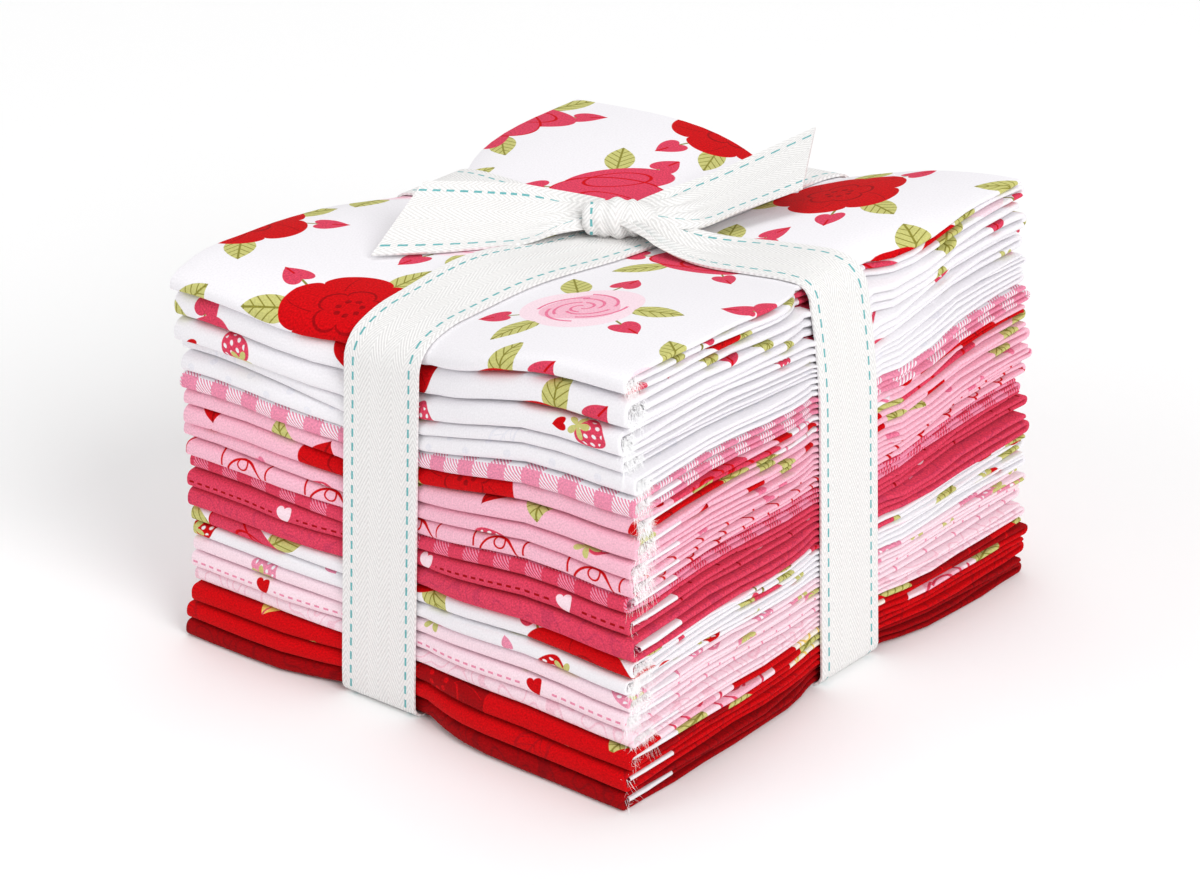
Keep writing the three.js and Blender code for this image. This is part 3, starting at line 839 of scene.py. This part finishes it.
def spaced(end, steps, crowded):
    """Numbers from minus end to end, set closer near each crowded place: equal shares of the area
    under 1 + crowd * (a bell at every such place)."""
    fine = np.linspace(-end, end, CROWD_SAMPLES)
    bells = [bell(fine - place, CROWD_WIDTH) for place in crowded]
    area = np.cumsum(1 + CROWD * np.sum(bells, axis=0))
    return np.interp(np.linspace(area[0], area[-1], steps), area, fine)


def book_fold(run, recess, places):
    """The width folded in four, seen along Y: x, and the height in the stack of four layers.
    Straight layers joined by half ellipses, the inner fold set back by a recess. All layers have
    their points at the same places, so that none cuts through the next."""
    pitch = run / PLIES
    inner_end = HALF_X - INNER_FOLD * pitch - recess
    big, small = 1.5 * pitch, 0.5 * pitch
    round_big = stretch(-pi / 2, pi / 2, BIG_ROUND)
    round_small = stretch(pi / 2, 3 * pi / 2, SMALL_ROUND)
    round_inner = stretch(pi / 2, -pi / 2, SMALL_ROUND)
    x = np.concatenate([
        [LOW_CUT - HALF_X], places,
        HALF_X - big + big * np.cos(round_big),
        [HALF_X - big], places[::-1],
        small - HALF_X + small * np.cos(round_small),
        [small - HALF_X], places,
        inner_end - small + small * np.cos(round_inner),
        [inner_end - small], places[::-1], [INNER_CUT - HALF_X],
    ])
    flat = np.zeros(1 + len(places))
    height = np.concatenate([
        flat + 0.5 * pitch,
        2 * pitch + big * np.sin(round_big),
        flat + 3.5 * pitch,
        3 * pitch + small * np.sin(round_small),
        flat + 2.5 * pitch,
        2 * pitch + small * np.sin(round_inner),
        flat + 1.5 * pitch, [1.5 * pitch],
    ])
    first_face = len(flat) + len(round_big)
    return x, height, first_face


print("layers across:", PLIES)

# %% Folded in three
RUN_GAP = 0.55
NOSE_FULLNESS = 2.5
BACK_ROUND, NOSE_ROUND = 6, 14
LAST_RUN = 2.0


def letter_fold(thickness, run, free_end, nose, places):
    """The length folded in three, seen along X: y and z of the stack's middle line, and the
    direction in which its layers lie. Straight runs with their points at the same places, a round
    bend at the back and a half superellipse at the front, nose times as long as half its height;
    the free end lies inside, the last run ends at the back on top."""
    low, high = run / 2, thickness - run / 2
    middle = thickness / 2
    bend = (run + RUN_GAP) / 2
    back_y = HALF_Y - bend - run / 2
    reach = nose * (run + RUN_GAP)
    nose_y = -HALF_Y + reach + run / 2
    round_back = stretch(pi / 2, -pi / 2, BACK_ROUND)
    round_nose = stretch(pi / 2, -pi / 2, NOSE_ROUND)
    out = np.abs(np.cos(round_nose)) ** (2 / NOSE_FULLNESS)
    rise = np.sign(np.sin(round_nose)) * np.abs(np.sin(round_nose)) ** (2 / NOSE_FULLNESS)
    flat = np.zeros(1 + len(places))
    y = np.concatenate([
        [run + free_end - HALF_Y], places,
        back_y + bend * np.cos(round_back),
        [back_y], places[::-1],
        nose_y - reach * out,
        [nose_y], places, [HALF_Y - LAST_RUN],
    ])
    z = np.concatenate([
        flat + middle,
        (middle + low) / 2 + bend * np.sin(round_back),
        flat + low,
        middle - (run + RUN_GAP) * rise,
        flat + high, [high],
    ])
    toward_y = np.concatenate([flat, np.cos(round_back), flat, -out, flat, [0]])
    toward_z = np.concatenate([flat + 1, np.sin(round_back), flat - 1, -rise, flat + 1, [1]])
    nose_row = 2 * len(flat) + len(round_back) + len(round_nose) // 2
    return y, z, toward_y, toward_z, nose_row


print("layers in a folded quarter:", PLIES * RUNS)

# %% [markdown]
# ## Laying a cloth in the pile
# No two quarters are folded quite alike. Each has its own share of the height, its edges lie a
# millimetre or two in or out, and it is turned a little. The edges also wander, except where
# the tape draws them in. All of that is a move in plan, after which the pile's rule sets heights.

# %% The quarters, from the top down
COLUMNS = ("swell", "front", "back", "left", "right", "turn", "free_end", "slot", "reverse")
QUARTERS = [dict(zip(COLUMNS, row)) for row in (
    (1.15, -0.8, 0.6, -1.7, 0.5, 0.1, 3.0, "white_garden_print", pale_back),
    (1.5, -0.2, -0.5, -0.8, 1.4, -0.2, 5.0, "blush_garden_print", pale_back),
    (1.24, -0.6, 1.6, -1.4, 0.2, -0.1, 2.0, "white_strawberry_print", pale_back),
    (0.74, 0.9, 0.5, 0.4, 0.8, -1.0, 6.0, "white_tonal_leaf", pale_back),
    (1.0, 0.1, 0.3, 0.6, 2.4, 0.2, 4.0, "white_tonal_spot", pale_back),
    (0.96, -0.5, 1.2, 0.5, 2.8, -0.1, 5.0, "pink_gingham", pale_back),
    (0.95, 0.4, -0.4, 0.5, 2.9, 0.3, 3.0, "pink_garden_print", pale_back),
    (1.1, -0.3, 0.7, 1.2, 3.2, 0.1, 6.0, "pink_bloom_print", pale_back),
    (0.9, 0.3, 1.1, 0.9, 3.6, -0.7, 4.0, "pink_strawberry_print", pink_back),
    (0.95, -0.1, 0.8, 1.5, 2.2, 0.2, 5.0, "pink_scallop_print", pink_back),
    (0.86, 0.6, -0.1, 1.5, 1.4, -0.5, 1.5, "rose_gingham", rose_back),
    (1.0, -0.6, 2.0, 1.2, 1.6, -0.1, 1.5, "rose_heart_stitch", rose_back),
    (1.18, -0.9, 0.6, 2.1, 4.0, -0.5, 2.0, "rose_tonal", rose_back),
    (0.95, 0.5, 1.3, 1.9, 3.0, -0.4, 5.0, "cream_garden_print", pale_back),
    (0.9, 0.2, 1.4, 1.7, 2.5, -0.8, 3.0, "cream_strawberry_print", pale_back),
    (0.86, 0.7, 0.7, 2.0, 2.5, -0.6, 6.0, "pale_pink_bud_print", pale_back),
    (1.0, -0.2, 1.1, 2.1, 1.5, -0.5, 4.0, "pale_pink_heart_stitch", pale_back),
    (0.84, 0.8, 0.7, 2.3, 3.0, -0.8, 7.0, "pale_pink_tonal", pale_back),
    (1.08, -1.0, 1.4, 2.1, 3.4, -0.6, 1.5, "red_garden_print", red_back),
    (1.06, -1.8, 1.6, 1.4, 3.0, -0.7, 2.0, "red_tonal_leaf", red_back),
    (0.97, -1.7, 1.2, 0.9, 3.2, -0.7, 1.5, "dark_red_tonal", red_back),
)]
SWELL_SUM = sum(quarter["swell"] for quarter in QUARTERS)
print("mean height of a folded quarter:", round(PILE_HEIGHT / len(QUARTERS), 2), "mm")

# %% Laid in the pile
DENT = {"front": 2.0, "back": 2.0, "left": 2.2, "right": 3.0}
STRAY = {"right": 0.9, "left": 0.7, "front": 0.35, "back": 0.5}
EDGE_WAVES = ((0.5, 130.0), (0.3, 57.0), (0.2, 23.0))
EDGE_PULL = {"inner": 13.5, "outer": 36.0}
EDGE_REACH = 42.0
FOOT_OUT, FOOT_DRIFT, FRONT_DRIFT = 4.0, 2.0, 2.75
SHOULDER, SHOULDER_FOOT = 2.6, 0.7


def wander(chance, along, size):
    """A sum of three sines with random phases: how far a real edge strays from straight."""
    waves = [size * weight * np.sin(2 * pi * along / pitch + chance.uniform(0, 2 * pi))
             for weight, pitch in EDGE_WAVES]
    return np.sum(waves, axis=0)


def right_plane(share):
    """How far out the tape's right side lies at a share of the height: it leans out to its foot,
    and rounds in above the shoulder's foot by the square of what is left."""
    shoulder = np.clip((share - SHOULDER_FOOT) / (1 - SHOULDER_FOOT), 0, 1) ** 2
    return FOOT_OUT * (1 - share) - SHOULDER * shoulder


def lay(quarter, tuck, x, y, height, chance, travel):
    """Moves a level cloth's points to their place. Each edge is shifted and turned with its cloth,
    strays a little, and is drawn in to the tape's plane near a band; the points follow their edge
    less and less inwards. The pile's rule then sets heights. travel is the way along the cloth for
    each row of the grid."""
    lean = tan(radians(quarter["turn"]))
    row_y, column_x, row_travel = y[:, :1], x[:1], travel[:, None]
    sunk = 1 - height.mean() / PILE_HEIGHT
    edges = [
        ("right", 1, HALF_X, x, -lean * row_y, row_travel,
         cross_offset(HALF_X, row_y) + FOOT_DRIFT * sunk),
        ("left", -1, HALF_X, x, -lean * row_y, row_travel, cross_offset(-HALF_X, row_y)),
        ("front", -1, HALF_Y, y, lean * column_x, column_x,
         long_offset(column_x, -HALF_Y) + FRONT_DRIFT * sunk),
        ("back", 1, HALF_Y, y, lean * column_x, column_x, long_offset(column_x, HALF_Y)),
    ]
    plane = {"right": right_plane(1 - sunk)}
    moved = {}
    for side, sign, half, place, turned, along, from_band in edges:
        loose = sign * half + quarter[side] + turned + wander(chance, along, STRAY[side])
        tight = sign * (half - DENT[side] - tuck[side]) + plane.get(side, 0.0)
        drawn = sign * np.minimum(sign * loose, sign * tight)
        edge = loose + (drawn - loose) * pull(from_band, EDGE_PULL)
        moved[side] = ease((sign * place - half + EDGE_REACH) / EDGE_REACH) * (edge - sign * half)
    placed_x = x + moved["right"] + moved["left"]
    placed_y = y + moved["front"] + moved["back"]
    return np.stack([placed_x, placed_y, settle(placed_x, placed_y, height)], axis=-1)


print("edges stray by up to:", max(STRAY.values()), "mm")

# %% One folded quarter
CLOTH = 0.19
INNER_RECESS = 0.35
SELVAGE = 9.0
BARE_SKIN = 2
FOLD_ROOM_X, FOLD_ROOM_Y = 5.0, 9.0
BAND_EDGES_X = (-HALF_X, -11.5, 13.5, HALF_X)
BAND_EDGES_Y = (-HALF_Y, -3.5, 19.5, HALF_Y)


def travelled(*ways):
    """Distance gone along a line of points given by its coordinates."""
    steps = np.sqrt(sum(np.diff(way) ** 2 for way in ways))
    return np.concatenate([[0.0], np.cumsum(steps)])


def folded_quarter(quarter, base, thickness, tuck, nose, steps, chance):
    """The letter fold's line plus the book fold's layers, P(u, v) = line(u) + layer(v) * side(u),
    laid in the pile. The UV map is the way along both folds, from the nose and the middle. The
    free end is selvage, which isn't printed."""
    run = (thickness - 2 * RUN_GAP) / RUNS
    free_end = quarter["free_end"]
    places_x = spaced(HALF_X - FOLD_ROOM_X, steps, BAND_EDGES_X)
    places_y = spaced(HALF_Y - FOLD_ROOM_Y, steps, BAND_EDGES_Y)
    x, layer, first_face = book_fold(run, INNER_RECESS * free_end, places_x)
    y, z, toward_y, toward_z, nose_row = letter_fold(thickness, run, free_end, nose, places_y)
    offset = layer - run / 2
    grid_x = np.broadcast_to(x, (len(y), len(x)))
    grid_y = y[:, None] + toward_y[:, None] * offset
    grid_z = z[:, None] + toward_z[:, None] * offset
    along = travelled(y + toward_y * run / 2, z + toward_z * run / 2)
    across = travelled(x, layer)
    points = lay(quarter, tuck, grid_x, grid_y, base + grid_z, chance, along)
    print_x = HALF_X - (across - across[first_face])
    print_y = along - along[nose_row]
    vertices, faces, skin, uv = sheet_part(points, CLOTH, print_x, print_y[:, None])
    bare_rows = np.searchsorted(along, SELVAGE)
    skin[:bare_rows * (len(x) - 1)] = BARE_SKIN
    return vertices, faces, skin, uv


print("bare selvage at the free end:", SELVAGE, "mm")

# %% [markdown]
# ## The pile
# The cloths are stacked from the top down, each with its own seed, and each stands for one solid
# of the frame. The top cloth shows most, so its grid is finer.

# %% Stack the quarters
FINE_STEPS, PLAIN_STEPS = 38, 21
PLAIN_NOSE, TOP_NOSE = 0.85, 2.2
CLOTH_GAP = 0.55
FIRST_SEED = 100
TUCK = {"front": 1.4, "back": 2.6, "left": 2.8, "right": 2.8}
SECOND_TUCK = dict.fromkeys(TUCK, 0.9)
FOOT_TUCK = dict.fromkeys(TUCK, 1.3)
NO_TUCK = dict.fromkeys(TUCK, 0.0)
level = PILE_HEIGHT
for number, quarter in enumerate(QUARTERS, start=1):
    pitch = PILE_HEIGHT * quarter["swell"] / SWELL_SUM
    tuck = {1: TUCK, 2: SECOND_TUCK, len(QUARTERS): FOOT_TUCK}.get(number, NO_TUCK)
    nose = TOP_NOSE if number == 1 else PLAIN_NOSE
    gap = 0.0 if number == len(QUARTERS) else CLOTH_GAP
    steps = FINE_STEPS if number == 1 else PLAIN_STEPS
    chance = np.random.default_rng(FIRST_SEED + number)
    parts = folded_quarter(quarter, level - pitch + gap, pitch - gap, tuck, nose, steps, chance)
    piece = make_piece(f"folded_quarter_{number:02d}", *parts,
                       [prints[quarter["slot"]], quarter["reverse"], pale_back])
    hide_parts(f"quarter_{number:02d}")
    quarter.update(top=level, pitch=pitch)
    level -= pitch

# %% [markdown]
# ## Twill tape
# The tape is a cotton twill: a chevron of slanted ribs with a firm edge, and a running stitch of
# teal near each edge. It reads the same kind of UV map as the cloth, along and across in
# millimetres, so the stitches follow the tape round every turn.

# %% Twill tape's finish
TAPE_WIDTH = 22.2
TAPE_THICK = 0.55
TAPE_COLOUR = ink(0.98, 0.975, 0.97)
TEAL = ink(0.42, 0.71, 0.72)
# painted shade: the darker cream laid in stripes along the twill's ribs
RIB_PAINTED_SHADE = ink(0.87, 0.865, 0.86)
STITCH_INSET = 2.7
STITCH_PITCH, STITCH_SHARE, STITCH_WIDTH = 3.7, 0.58, 0.58
# the second number is how strongly the painted shade is laid along the ribs
RIB, PAINTED_SHADE_STRENGTH = 1.6, 0.8
CHEVRON, CHEVRON_SLOPE = 6.6, 2.0
RIB_BUMP = {"Strength": 0.35, "Distance": 0.16 * MM}


def twill(name):
    """Slanted ribs that turn back every half chevron, |across - middle| + along, each painted a darker
    cream in a stripe along it as painted shade, and two stitches. The ribs' bump takes the place of the
    weave's."""
    tape = Print(name, TAPE_COLOUR)
    chevron = abs((tape.y / CHEVRON).fract() - 0.5) * CHEVRON
    rib = (tape.x + chevron * CHEVRON_SLOPE).wave(RIB)
    dash = (tape.x / STITCH_PITCH).fract().below(STITCH_SHARE)
    from_stitch = abs(tape.y) - (TAPE_WIDTH / 2 - STITCH_INSET)
    # painted shade: a darker stripe along every rib, so the ribs show in colour as well as by bump
    tape.paint((rib * 0.5 + 0.5) * PAINTED_SHADE_STRENGTH, RIB_PAINTED_SHADE)
    tape.paint(from_stitch.line(STITCH_WIDTH) & dash, TEAL)
    material = tape.finish()
    tape.emboss(rib, RIB_BUMP)
    return material


twill_tape = twill("twill_tape")
print("between the two stitches:", round(TAPE_WIDTH - 2 * STITCH_INSET, 1), "mm")

# %% [markdown]
# ## Bands round the pile
# One band goes front to back and the other left to right. Each is the same closed walk: over the
# top on the pile's own surface, down a side, under and up again. Near the knot the band that is
# tied draws together: its width shrinks, its cloth stands up in pleats, and it rises to the knot.

# %% The way round a band
CLEAR = 0.3
TOP_TURN, FOOT_TURN = 4.4, 3.2
TURN_STEPS, SIDE_STEPS, TOP_STEPS, FOOT_STEPS = 6, 24, 40, 30


def band_walk(start, end):
    """One way round a band: the place along it, the share of the top's height and a height added
    to that, and how far the tape faces up, from -1 to 1. Straight stretches and quarter turns."""
    quarter_turn = stretch(0, pi / 2, TURN_STEPS)
    cos, sin = np.cos(quarter_turn), np.sin(quarter_turn)
    ones = np.ones_like(cos)
    top_middle = (start + end) / 2
    down = stretch(1, 0, SIDE_STEPS)
    climb = down[::-1]
    top_z, foot_z = -TOP_TURN, FOOT_TURN
    half_top = stretch(top_middle, end - TOP_TURN, TOP_STEPS)
    other_half = np.linspace(start + TOP_TURN, top_middle, TOP_STEPS + 1)
    under = stretch(end - FOOT_TURN, start + FOOT_TURN, FOOT_STEPS)
    walk = [
        (half_top, half_top * 0 + 1, half_top * 0, half_top * 0 + 1),
        (end - TOP_TURN + TOP_TURN * sin, ones, top_z + TOP_TURN * cos, cos),
        (down * 0 + end, down, top_z * down + foot_z * (1 - down), down * 0),
        (end - FOOT_TURN + FOOT_TURN * cos, ones * 0, foot_z - FOOT_TURN * sin, -sin),
        (under, under * 0, under * 0, under * 0 - 1),
        (start + FOOT_TURN - FOOT_TURN * sin, ones * 0, foot_z - FOOT_TURN * cos, -cos),
        (climb * 0 + start, climb, top_z * climb + foot_z * (1 - climb), climb * 0),
        (start + TOP_TURN - TOP_TURN * cos, ones, top_z + TOP_TURN * sin, sin),
        (other_half, other_half * 0 + 1, other_half * 0, other_half * 0 + 1),
    ]
    return [np.concatenate(column) for column in zip(*walk)]


print("places along a band:", len(band_walk(-HALF_Y, HALF_Y)[0]))

# %% Two bands
KNOT = {"x": 1.0, "y": 5.0, "rise": 5.2, "length": 9.0, "depth": 6.0, "height": 4.8, "turn": 38}
KNOT_SEAT, KNOT_SHIFT = 1.0, 1.5
TAPE_COLUMNS = 27
GATHER_REACH, GATHER_WIDTH = 40.0, 0.42
PLEATS, PLEAT_HEIGHT = 4.5, 1.3
LAP_RAMP, LAP_GAP = 4.0, 0.1


def band(spec, start, end, swap, lap, gather):
    """A band's grid: for each place along the walk and each place across the tape, the pile's top
    height or a share of it. swap exchanges x and y. The front side drifts to the left as it goes
    down, the right side to the front and out; lap lifts a band over the other one."""
    along, share, added, upward = (column[:, None] for column in band_walk(start, end))
    across = np.linspace(-1, 1, TAPE_COLUMNS) * TAPE_WIDTH / 2
    on_top = (share == 1) * (upward > 0)
    near_knot = on_top * ease((GATHER_REACH - np.abs(along - KNOT["x"])) / GATHER_REACH) * gather
    width = 1 - (1 - GATHER_WIDTH) * near_knot
    straight = spec["centre"] + spec["slant"] * along
    drift = FOOT_DRIFT * ease(along / end) if swap else FRONT_DRIFT * ease(along / start)
    middle = (cross_middle(along) if swap else straight) + near_knot * KNOT_SHIFT - drift * (1 - share)
    far = middle + across * width
    along = along + right_plane(share) * ease(along / end) * swap
    x, y = (along + far * 0, far) if swap else (far, along + far * 0)
    top = settle(x, y, PILE_HEIGHT) + CLEAR + TAPE_THICK / 2
    other = long_offset(x, y) if swap else cross_offset(x, y)
    over = lap * ease((TAPE_WIDTH / 2 + LAP_RAMP - np.abs(other)) / LAP_RAMP) * (upward ** 2)
    pleat = near_knot * PLEAT_HEIGHT * np.cos(across * (2 * pi * PLEATS / TAPE_WIDTH))
    rise = near_knot ** 2 * (KNOT["rise"] - KNOT_SEAT)
    z = share * top + added + (1 - share) * TAPE_THICK / 2 + over + pleat + rise
    points = np.stack([x, y, z], axis=-1)
    travel = travelled(*points[:, TAPE_COLUMNS // 2].T)[:, None]
    face_up = slice(None, None, 1 if swap else -1)
    return sheet_part(points[:, face_up], TAPE_THICK, travel, across[face_up])


out = CLEAR + TAPE_THICK / 2
long_band = band(LONG_BAND, DENT["front"] - HALF_Y - out, HALF_Y - DENT["back"] + out,
                 False, 0.0, 0.0)
cross_band = band(CROSS_BAND, DENT["left"] - HALF_X - out, HALF_X - DENT["right"] + out,
                  True, TAPE_THICK + LAP_GAP, 1.0)
print("faces in the two bands:", len(long_band[1]) + len(cross_band[1]))

# %% [markdown]
# ## Knot and tails
# The tied end wraps once round the gathered tape, so the knot is a short barrel with folds that
# run round it. The two tails come out of it narrow and pleated, and spread to the tape's full
# width as they leave. Each tail is a few listed lines from its near edge to its far one, with a
# smooth surface through them; the last line is slanted, as the tape was cut.

# %% Tails
TAIL_ROW = [("near", float, 3), ("far", float, 3), ("belly", float)]
FRONT_TAIL = np.array([
    ((-2.0, 3.0, 99.4), (-6.0, 8.0, 100.6), 0.0),
    ((-7.4, -7.2, 98.9), (-16.4, 4.7, 101.8), 1.6),
    ((-10.1, -17.2, 98.3), (-22.8, -1.7, 104.6), 2.4),
    ((-16.7, -28.3, 98.8), (-25.9, -8.6, 106.6), 1.6),
    ((-24.8, -37.5, 98.7), (-31.3, -15.8, 107.8), 0.7),
    ((-32.8, -45.7, 98.8), (-37.0, -21.8, 108.3), 0.0),
], dtype=TAIL_ROW)
BACK_TAIL = np.array([
    ((7.0, 5.5, 100.4), (2.0, 10.0, 101.4), 0.0),
    ((18.4, 13.4, 100.2), (1.0, 24.8, 100.8), 0.6),
    ((22.0, 24.8, 101.2), (5.3, 38.7, 102.4), 0.6),
    ((29.3, 38.9, 104.0), (15.2, 62.6, 108.0), 0.0),
], dtype=TAIL_ROW)
TAIL_STEPS = 60
TAIL_PLEAT = 1.5
TAIL_GATHER = 20.0


def smooth_rows(rows, steps):
    """A Catmull-Rom curve through the rows: cubic between each two, with the slope at a row half
    the difference of its neighbours."""
    place = np.linspace(0, len(rows) - 1, steps)
    first = np.minimum(place.astype(int), len(rows) - 2)
    t = (place - first)[:, None]
    slope = np.gradient(rows, axis=0)
    a, b, slope_a, slope_b = rows[first], rows[first + 1], slope[first], slope[first + 1]
    return ((2 * t**3 - 3 * t**2 + 1) * a + (t**3 - 2 * t**2 + t) * slope_a
            + (3 * t**2 - 2 * t**3) * b + (t**3 - t**2) * slope_b)


def tail(rows, turned):
    """Straight lines between a near and a far edge, bellied by 4 q (1 - q), with pleats that fade
    as it leaves the knot. turned swaps the edges so that the face is on top."""
    near, far = smooth_rows(rows["near"], TAIL_STEPS), smooth_rows(rows["far"], TAIL_STEPS)
    belly = smooth_rows(rows["belly"][:, None], TAIL_STEPS)
    q = np.linspace(0, 1, TAPE_COLUMNS)
    points = far[:, None] + (near - far)[:, None] * q[:, None]
    travel = travelled(*((near + far) / 2).T)[:, None]
    slack = ease(1 - travel / TAIL_GATHER)
    points[..., 2] += TAIL_PLEAT * slack * np.cos(2 * pi * PLEATS * q) - belly * 4 * q * (1 - q)
    across = (q - 0.5) * TAPE_WIDTH
    face_up = slice(None, None, -1 if turned else 1)
    return sheet_part(points[:, face_up], TAPE_THICK, travel, across[face_up])


tails = [tail(FRONT_TAIL, False), tail(BACK_TAIL, True)]
print("faces in the tails:", [len(part[1]) for part in tails])

# %% Knot
KNOT_STEPS, KNOT_COLUMNS = 72, 45
KNOT_WRAP = (-0.6 * pi, 1.42 * pi)
KNOT_END = 0.96
KNOT_FOLDS = ((0.44, -0.6, 0.2), (0.2, -0.2, 0.1), (0.42, 0.2, 0.2), (0.2, 0.62, 0.12))
FOLD_WIDTH, FOLD_SINK = 0.45, 0.4
FOLD_SHIFT, FOLD_WOBBLE = 0.36, 0.05
KNOT_TAPE, KNOT_TAPE_SHIFT = 0.75, 0.2


def knot():
    """A barrel, radius (1 - |a|^3)^(1/3), wrapped by folds: smooth ridges along its length a that
    shift a little as they go round."""
    round_it = np.linspace(*KNOT_WRAP, KNOT_STEPS)[:, None]
    a = np.linspace(-KNOT_END, KNOT_END, KNOT_COLUMNS)
    shifted = a + FOLD_SHIFT * np.sin(0.5 * round_it + 0.4) + FOLD_WOBBLE * np.sin(3 * round_it)
    girth = (1 - np.abs(a) ** 3.0) ** (1 / 3.0) + 0 * round_it
    for width, place, height in KNOT_FOLDS:
        girth = girth + height * bell(shifted - place, FOLD_WIDTH * width) - FOLD_SINK * height
    along = KNOT["length"] * a + 0 * round_it
    deep = KNOT["depth"] * girth * np.cos(round_it)
    high = KNOT["height"] * girth * np.sin(round_it)
    turn = radians(KNOT["turn"])
    x = KNOT["x"] + along * np.cos(turn) - deep * np.sin(turn)
    y = KNOT["y"] + along * np.sin(turn) + deep * np.cos(turn)
    z = settle(KNOT["x"], KNOT["y"], PILE_HEIGHT) + KNOT["rise"] + high
    points = np.stack([x, y, z], axis=-1)
    travel = travelled(*points[:, KNOT_COLUMNS // 2].T)[:, None]
    across = (KNOT_TAPE * a - KNOT_TAPE_SHIFT) * TAPE_WIDTH / 2
    return sheet_part(points[:, ::-1], TAPE_THICK, travel, across[::-1])


tape = make_piece("tape", *join([long_band, cross_band, knot(), *tails]), [twill_tape])
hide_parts("tie_tape")
print("tape faces:", len(tape.data.polygons))

# %% [markdown]
# ## Frayed threads
# Where a cloth's cut end lies inside its fold, threads work loose and stand out white at the corner,
# and the longer ones hang down over the cloths below. Each is a three-sided tube on a curve, and
# all of them are one mesh. Fibres this thin pass light on to each other; the threads are given a
# faint painted glow of their own in its place.

# %% A thread
THREAD_RADIUS, THREAD_TAPER = 0.045, 0.75
THREAD_RINGS = 4
SIDEWAYS = np.array([0.31, 0.2, 0.93])


def threads(starts, directions, curls, reach):
    """Tubes along start + direction * t + curl * t^2, three-sided, thinning to their tips."""
    t = np.linspace(0, 1, THREAD_RINGS)[None, :, None]
    spine = starts[:, None] + directions[:, None] * reach[:, None, None] * t + curls[:, None] * t**2
    forward = np.gradient(spine, axis=1)
    forward /= np.linalg.norm(forward, axis=2, keepdims=True)
    first = np.cross(forward, SIDEWAYS)
    first /= np.linalg.norm(first, axis=2, keepdims=True)
    second = np.cross(forward, first)
    angle = np.arange(3) * (2 * pi / 3)
    radius = THREAD_RADIUS * (1 - THREAD_TAPER * t[..., None])
    ring = first[:, :, None] * np.cos(angle)[:, None] + second[:, :, None] * np.sin(angle)[:, None]
    vertices = spine[:, :, None] + ring * radius
    index = np.arange(vertices[..., 0].size).reshape(vertices.shape[:3])
    turned = np.roll(index, -1, axis=2)
    sides = np.stack([index[:, :-1], turned[:, :-1], turned[:, 1:], index[:, 1:]], axis=-1)
    caps = np.concatenate([index[:, 0, ::-1], index[:, -1]])
    return vertices.reshape(-1, 3), sides.reshape(-1, 4), caps


print("faces in a thread:", 3 * (THREAD_RINGS - 1) + 2)

# %% Where the threads grow
FRAY_SEED = 77
MANY_THREADS, FEW_THREADS = 260, 12
FRAY_DEPTH = (1.2, 0.3)
FRAY_OUT, FRAY_FRONT, FRAY_LONGER = 0.2, 0.8, 1.5
FRAY_LEVELS = (0.15, 0.85)
chance = np.random.default_rng(FRAY_SEED)
starts = []
for quarter in QUARTERS:
    lean = tan(radians(quarter["turn"]))
    count = MANY_THREADS if quarter["reverse"] in (pale_back, pink_back) else FEW_THREADS
    x = HALF_X + quarter["right"] + lean * HALF_Y + FRAY_OUT - chance.gamma(*FRAY_DEPTH, count)
    front = -HALF_Y + quarter["front"] + lean * HALF_X
    y = front + FRAY_FRONT + (quarter["free_end"] + FRAY_LONGER) * chance.uniform(0, 1, count)
    height = quarter["top"] - quarter["pitch"] * chance.uniform(*FRAY_LEVELS, count)
    starts.append(np.stack([x, y, settle(x, y, height)], axis=-1))
starts = np.concatenate(starts)
count = len(starts)
print("threads:", count)

# %% Loose and hanging threads
FRAY_SPREAD = ((0.2, 1.0), (-0.9, 0.4), (-0.8, 0.6))
FRAY_REACH = (0.6, 2.2)
CURL, CURL_FALL = 0.7, np.array([0, 0, -0.5])
HANGING_SHARE = 0.22
HANGING_LEAN, HANGING_REACH = 0.5, 2.8
DOWN = np.array([0, 0, -1])
# the second number is a painted glow: the strength of the threads' own faint light
THREAD_ALPHA, PAINTED_GLOW = 0.7, 0.13
directions = np.stack([chance.uniform(*span, count) for span in FRAY_SPREAD], axis=-1)
curls = chance.normal(0, CURL, (count, 3)) + CURL_FALL
reach = chance.uniform(*FRAY_REACH, count)
hanging = chance.uniform(0, 1, count) < HANGING_SHARE
directions[hanging] = directions[hanging] * HANGING_LEAN + DOWN
reach[hanging] *= HANGING_REACH
directions /= np.linalg.norm(directions, axis=1, keepdims=True)
vertices, sides, caps = threads(starts, directions, curls, reach)
vertices[:, 2] = np.maximum(vertices[:, 2], THREAD_RADIUS)
fray_mesh = bpy.data.meshes.new("frayed_threads")
fray_mesh.from_pydata((vertices * MM).tolist(), [], sides.tolist() + caps.tolist())
loose_threads = bare_cotton("loose_threads", ink(1.0, 1.0, 1.0))
fibre = loose_threads.node_tree.nodes["Principled BSDF"]
fibre.inputs["Alpha"].default_value = THREAD_ALPHA
# painted glow: a faint white emission of the threads' own, in place of light passed between fibres
fibre.inputs["Emission Color"].default_value = (1, 1, 1, 1)
fibre.inputs["Emission Strength"].default_value = PAINTED_GLOW
fray_mesh.materials.append(loose_threads)
fray_mesh.uv_layers.new(name="cloth")
fray = bpy.data.objects.new("frayed_threads", fray_mesh)
scene.collection.objects.link(fray)
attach(fray, BODY)
print("hanging threads:", int(hanging.sum()))

# %% [markdown]
# ## Size
# The dressed model stays within a few millimetres of the frame's box.

# %% End
print("the pile is dressed")
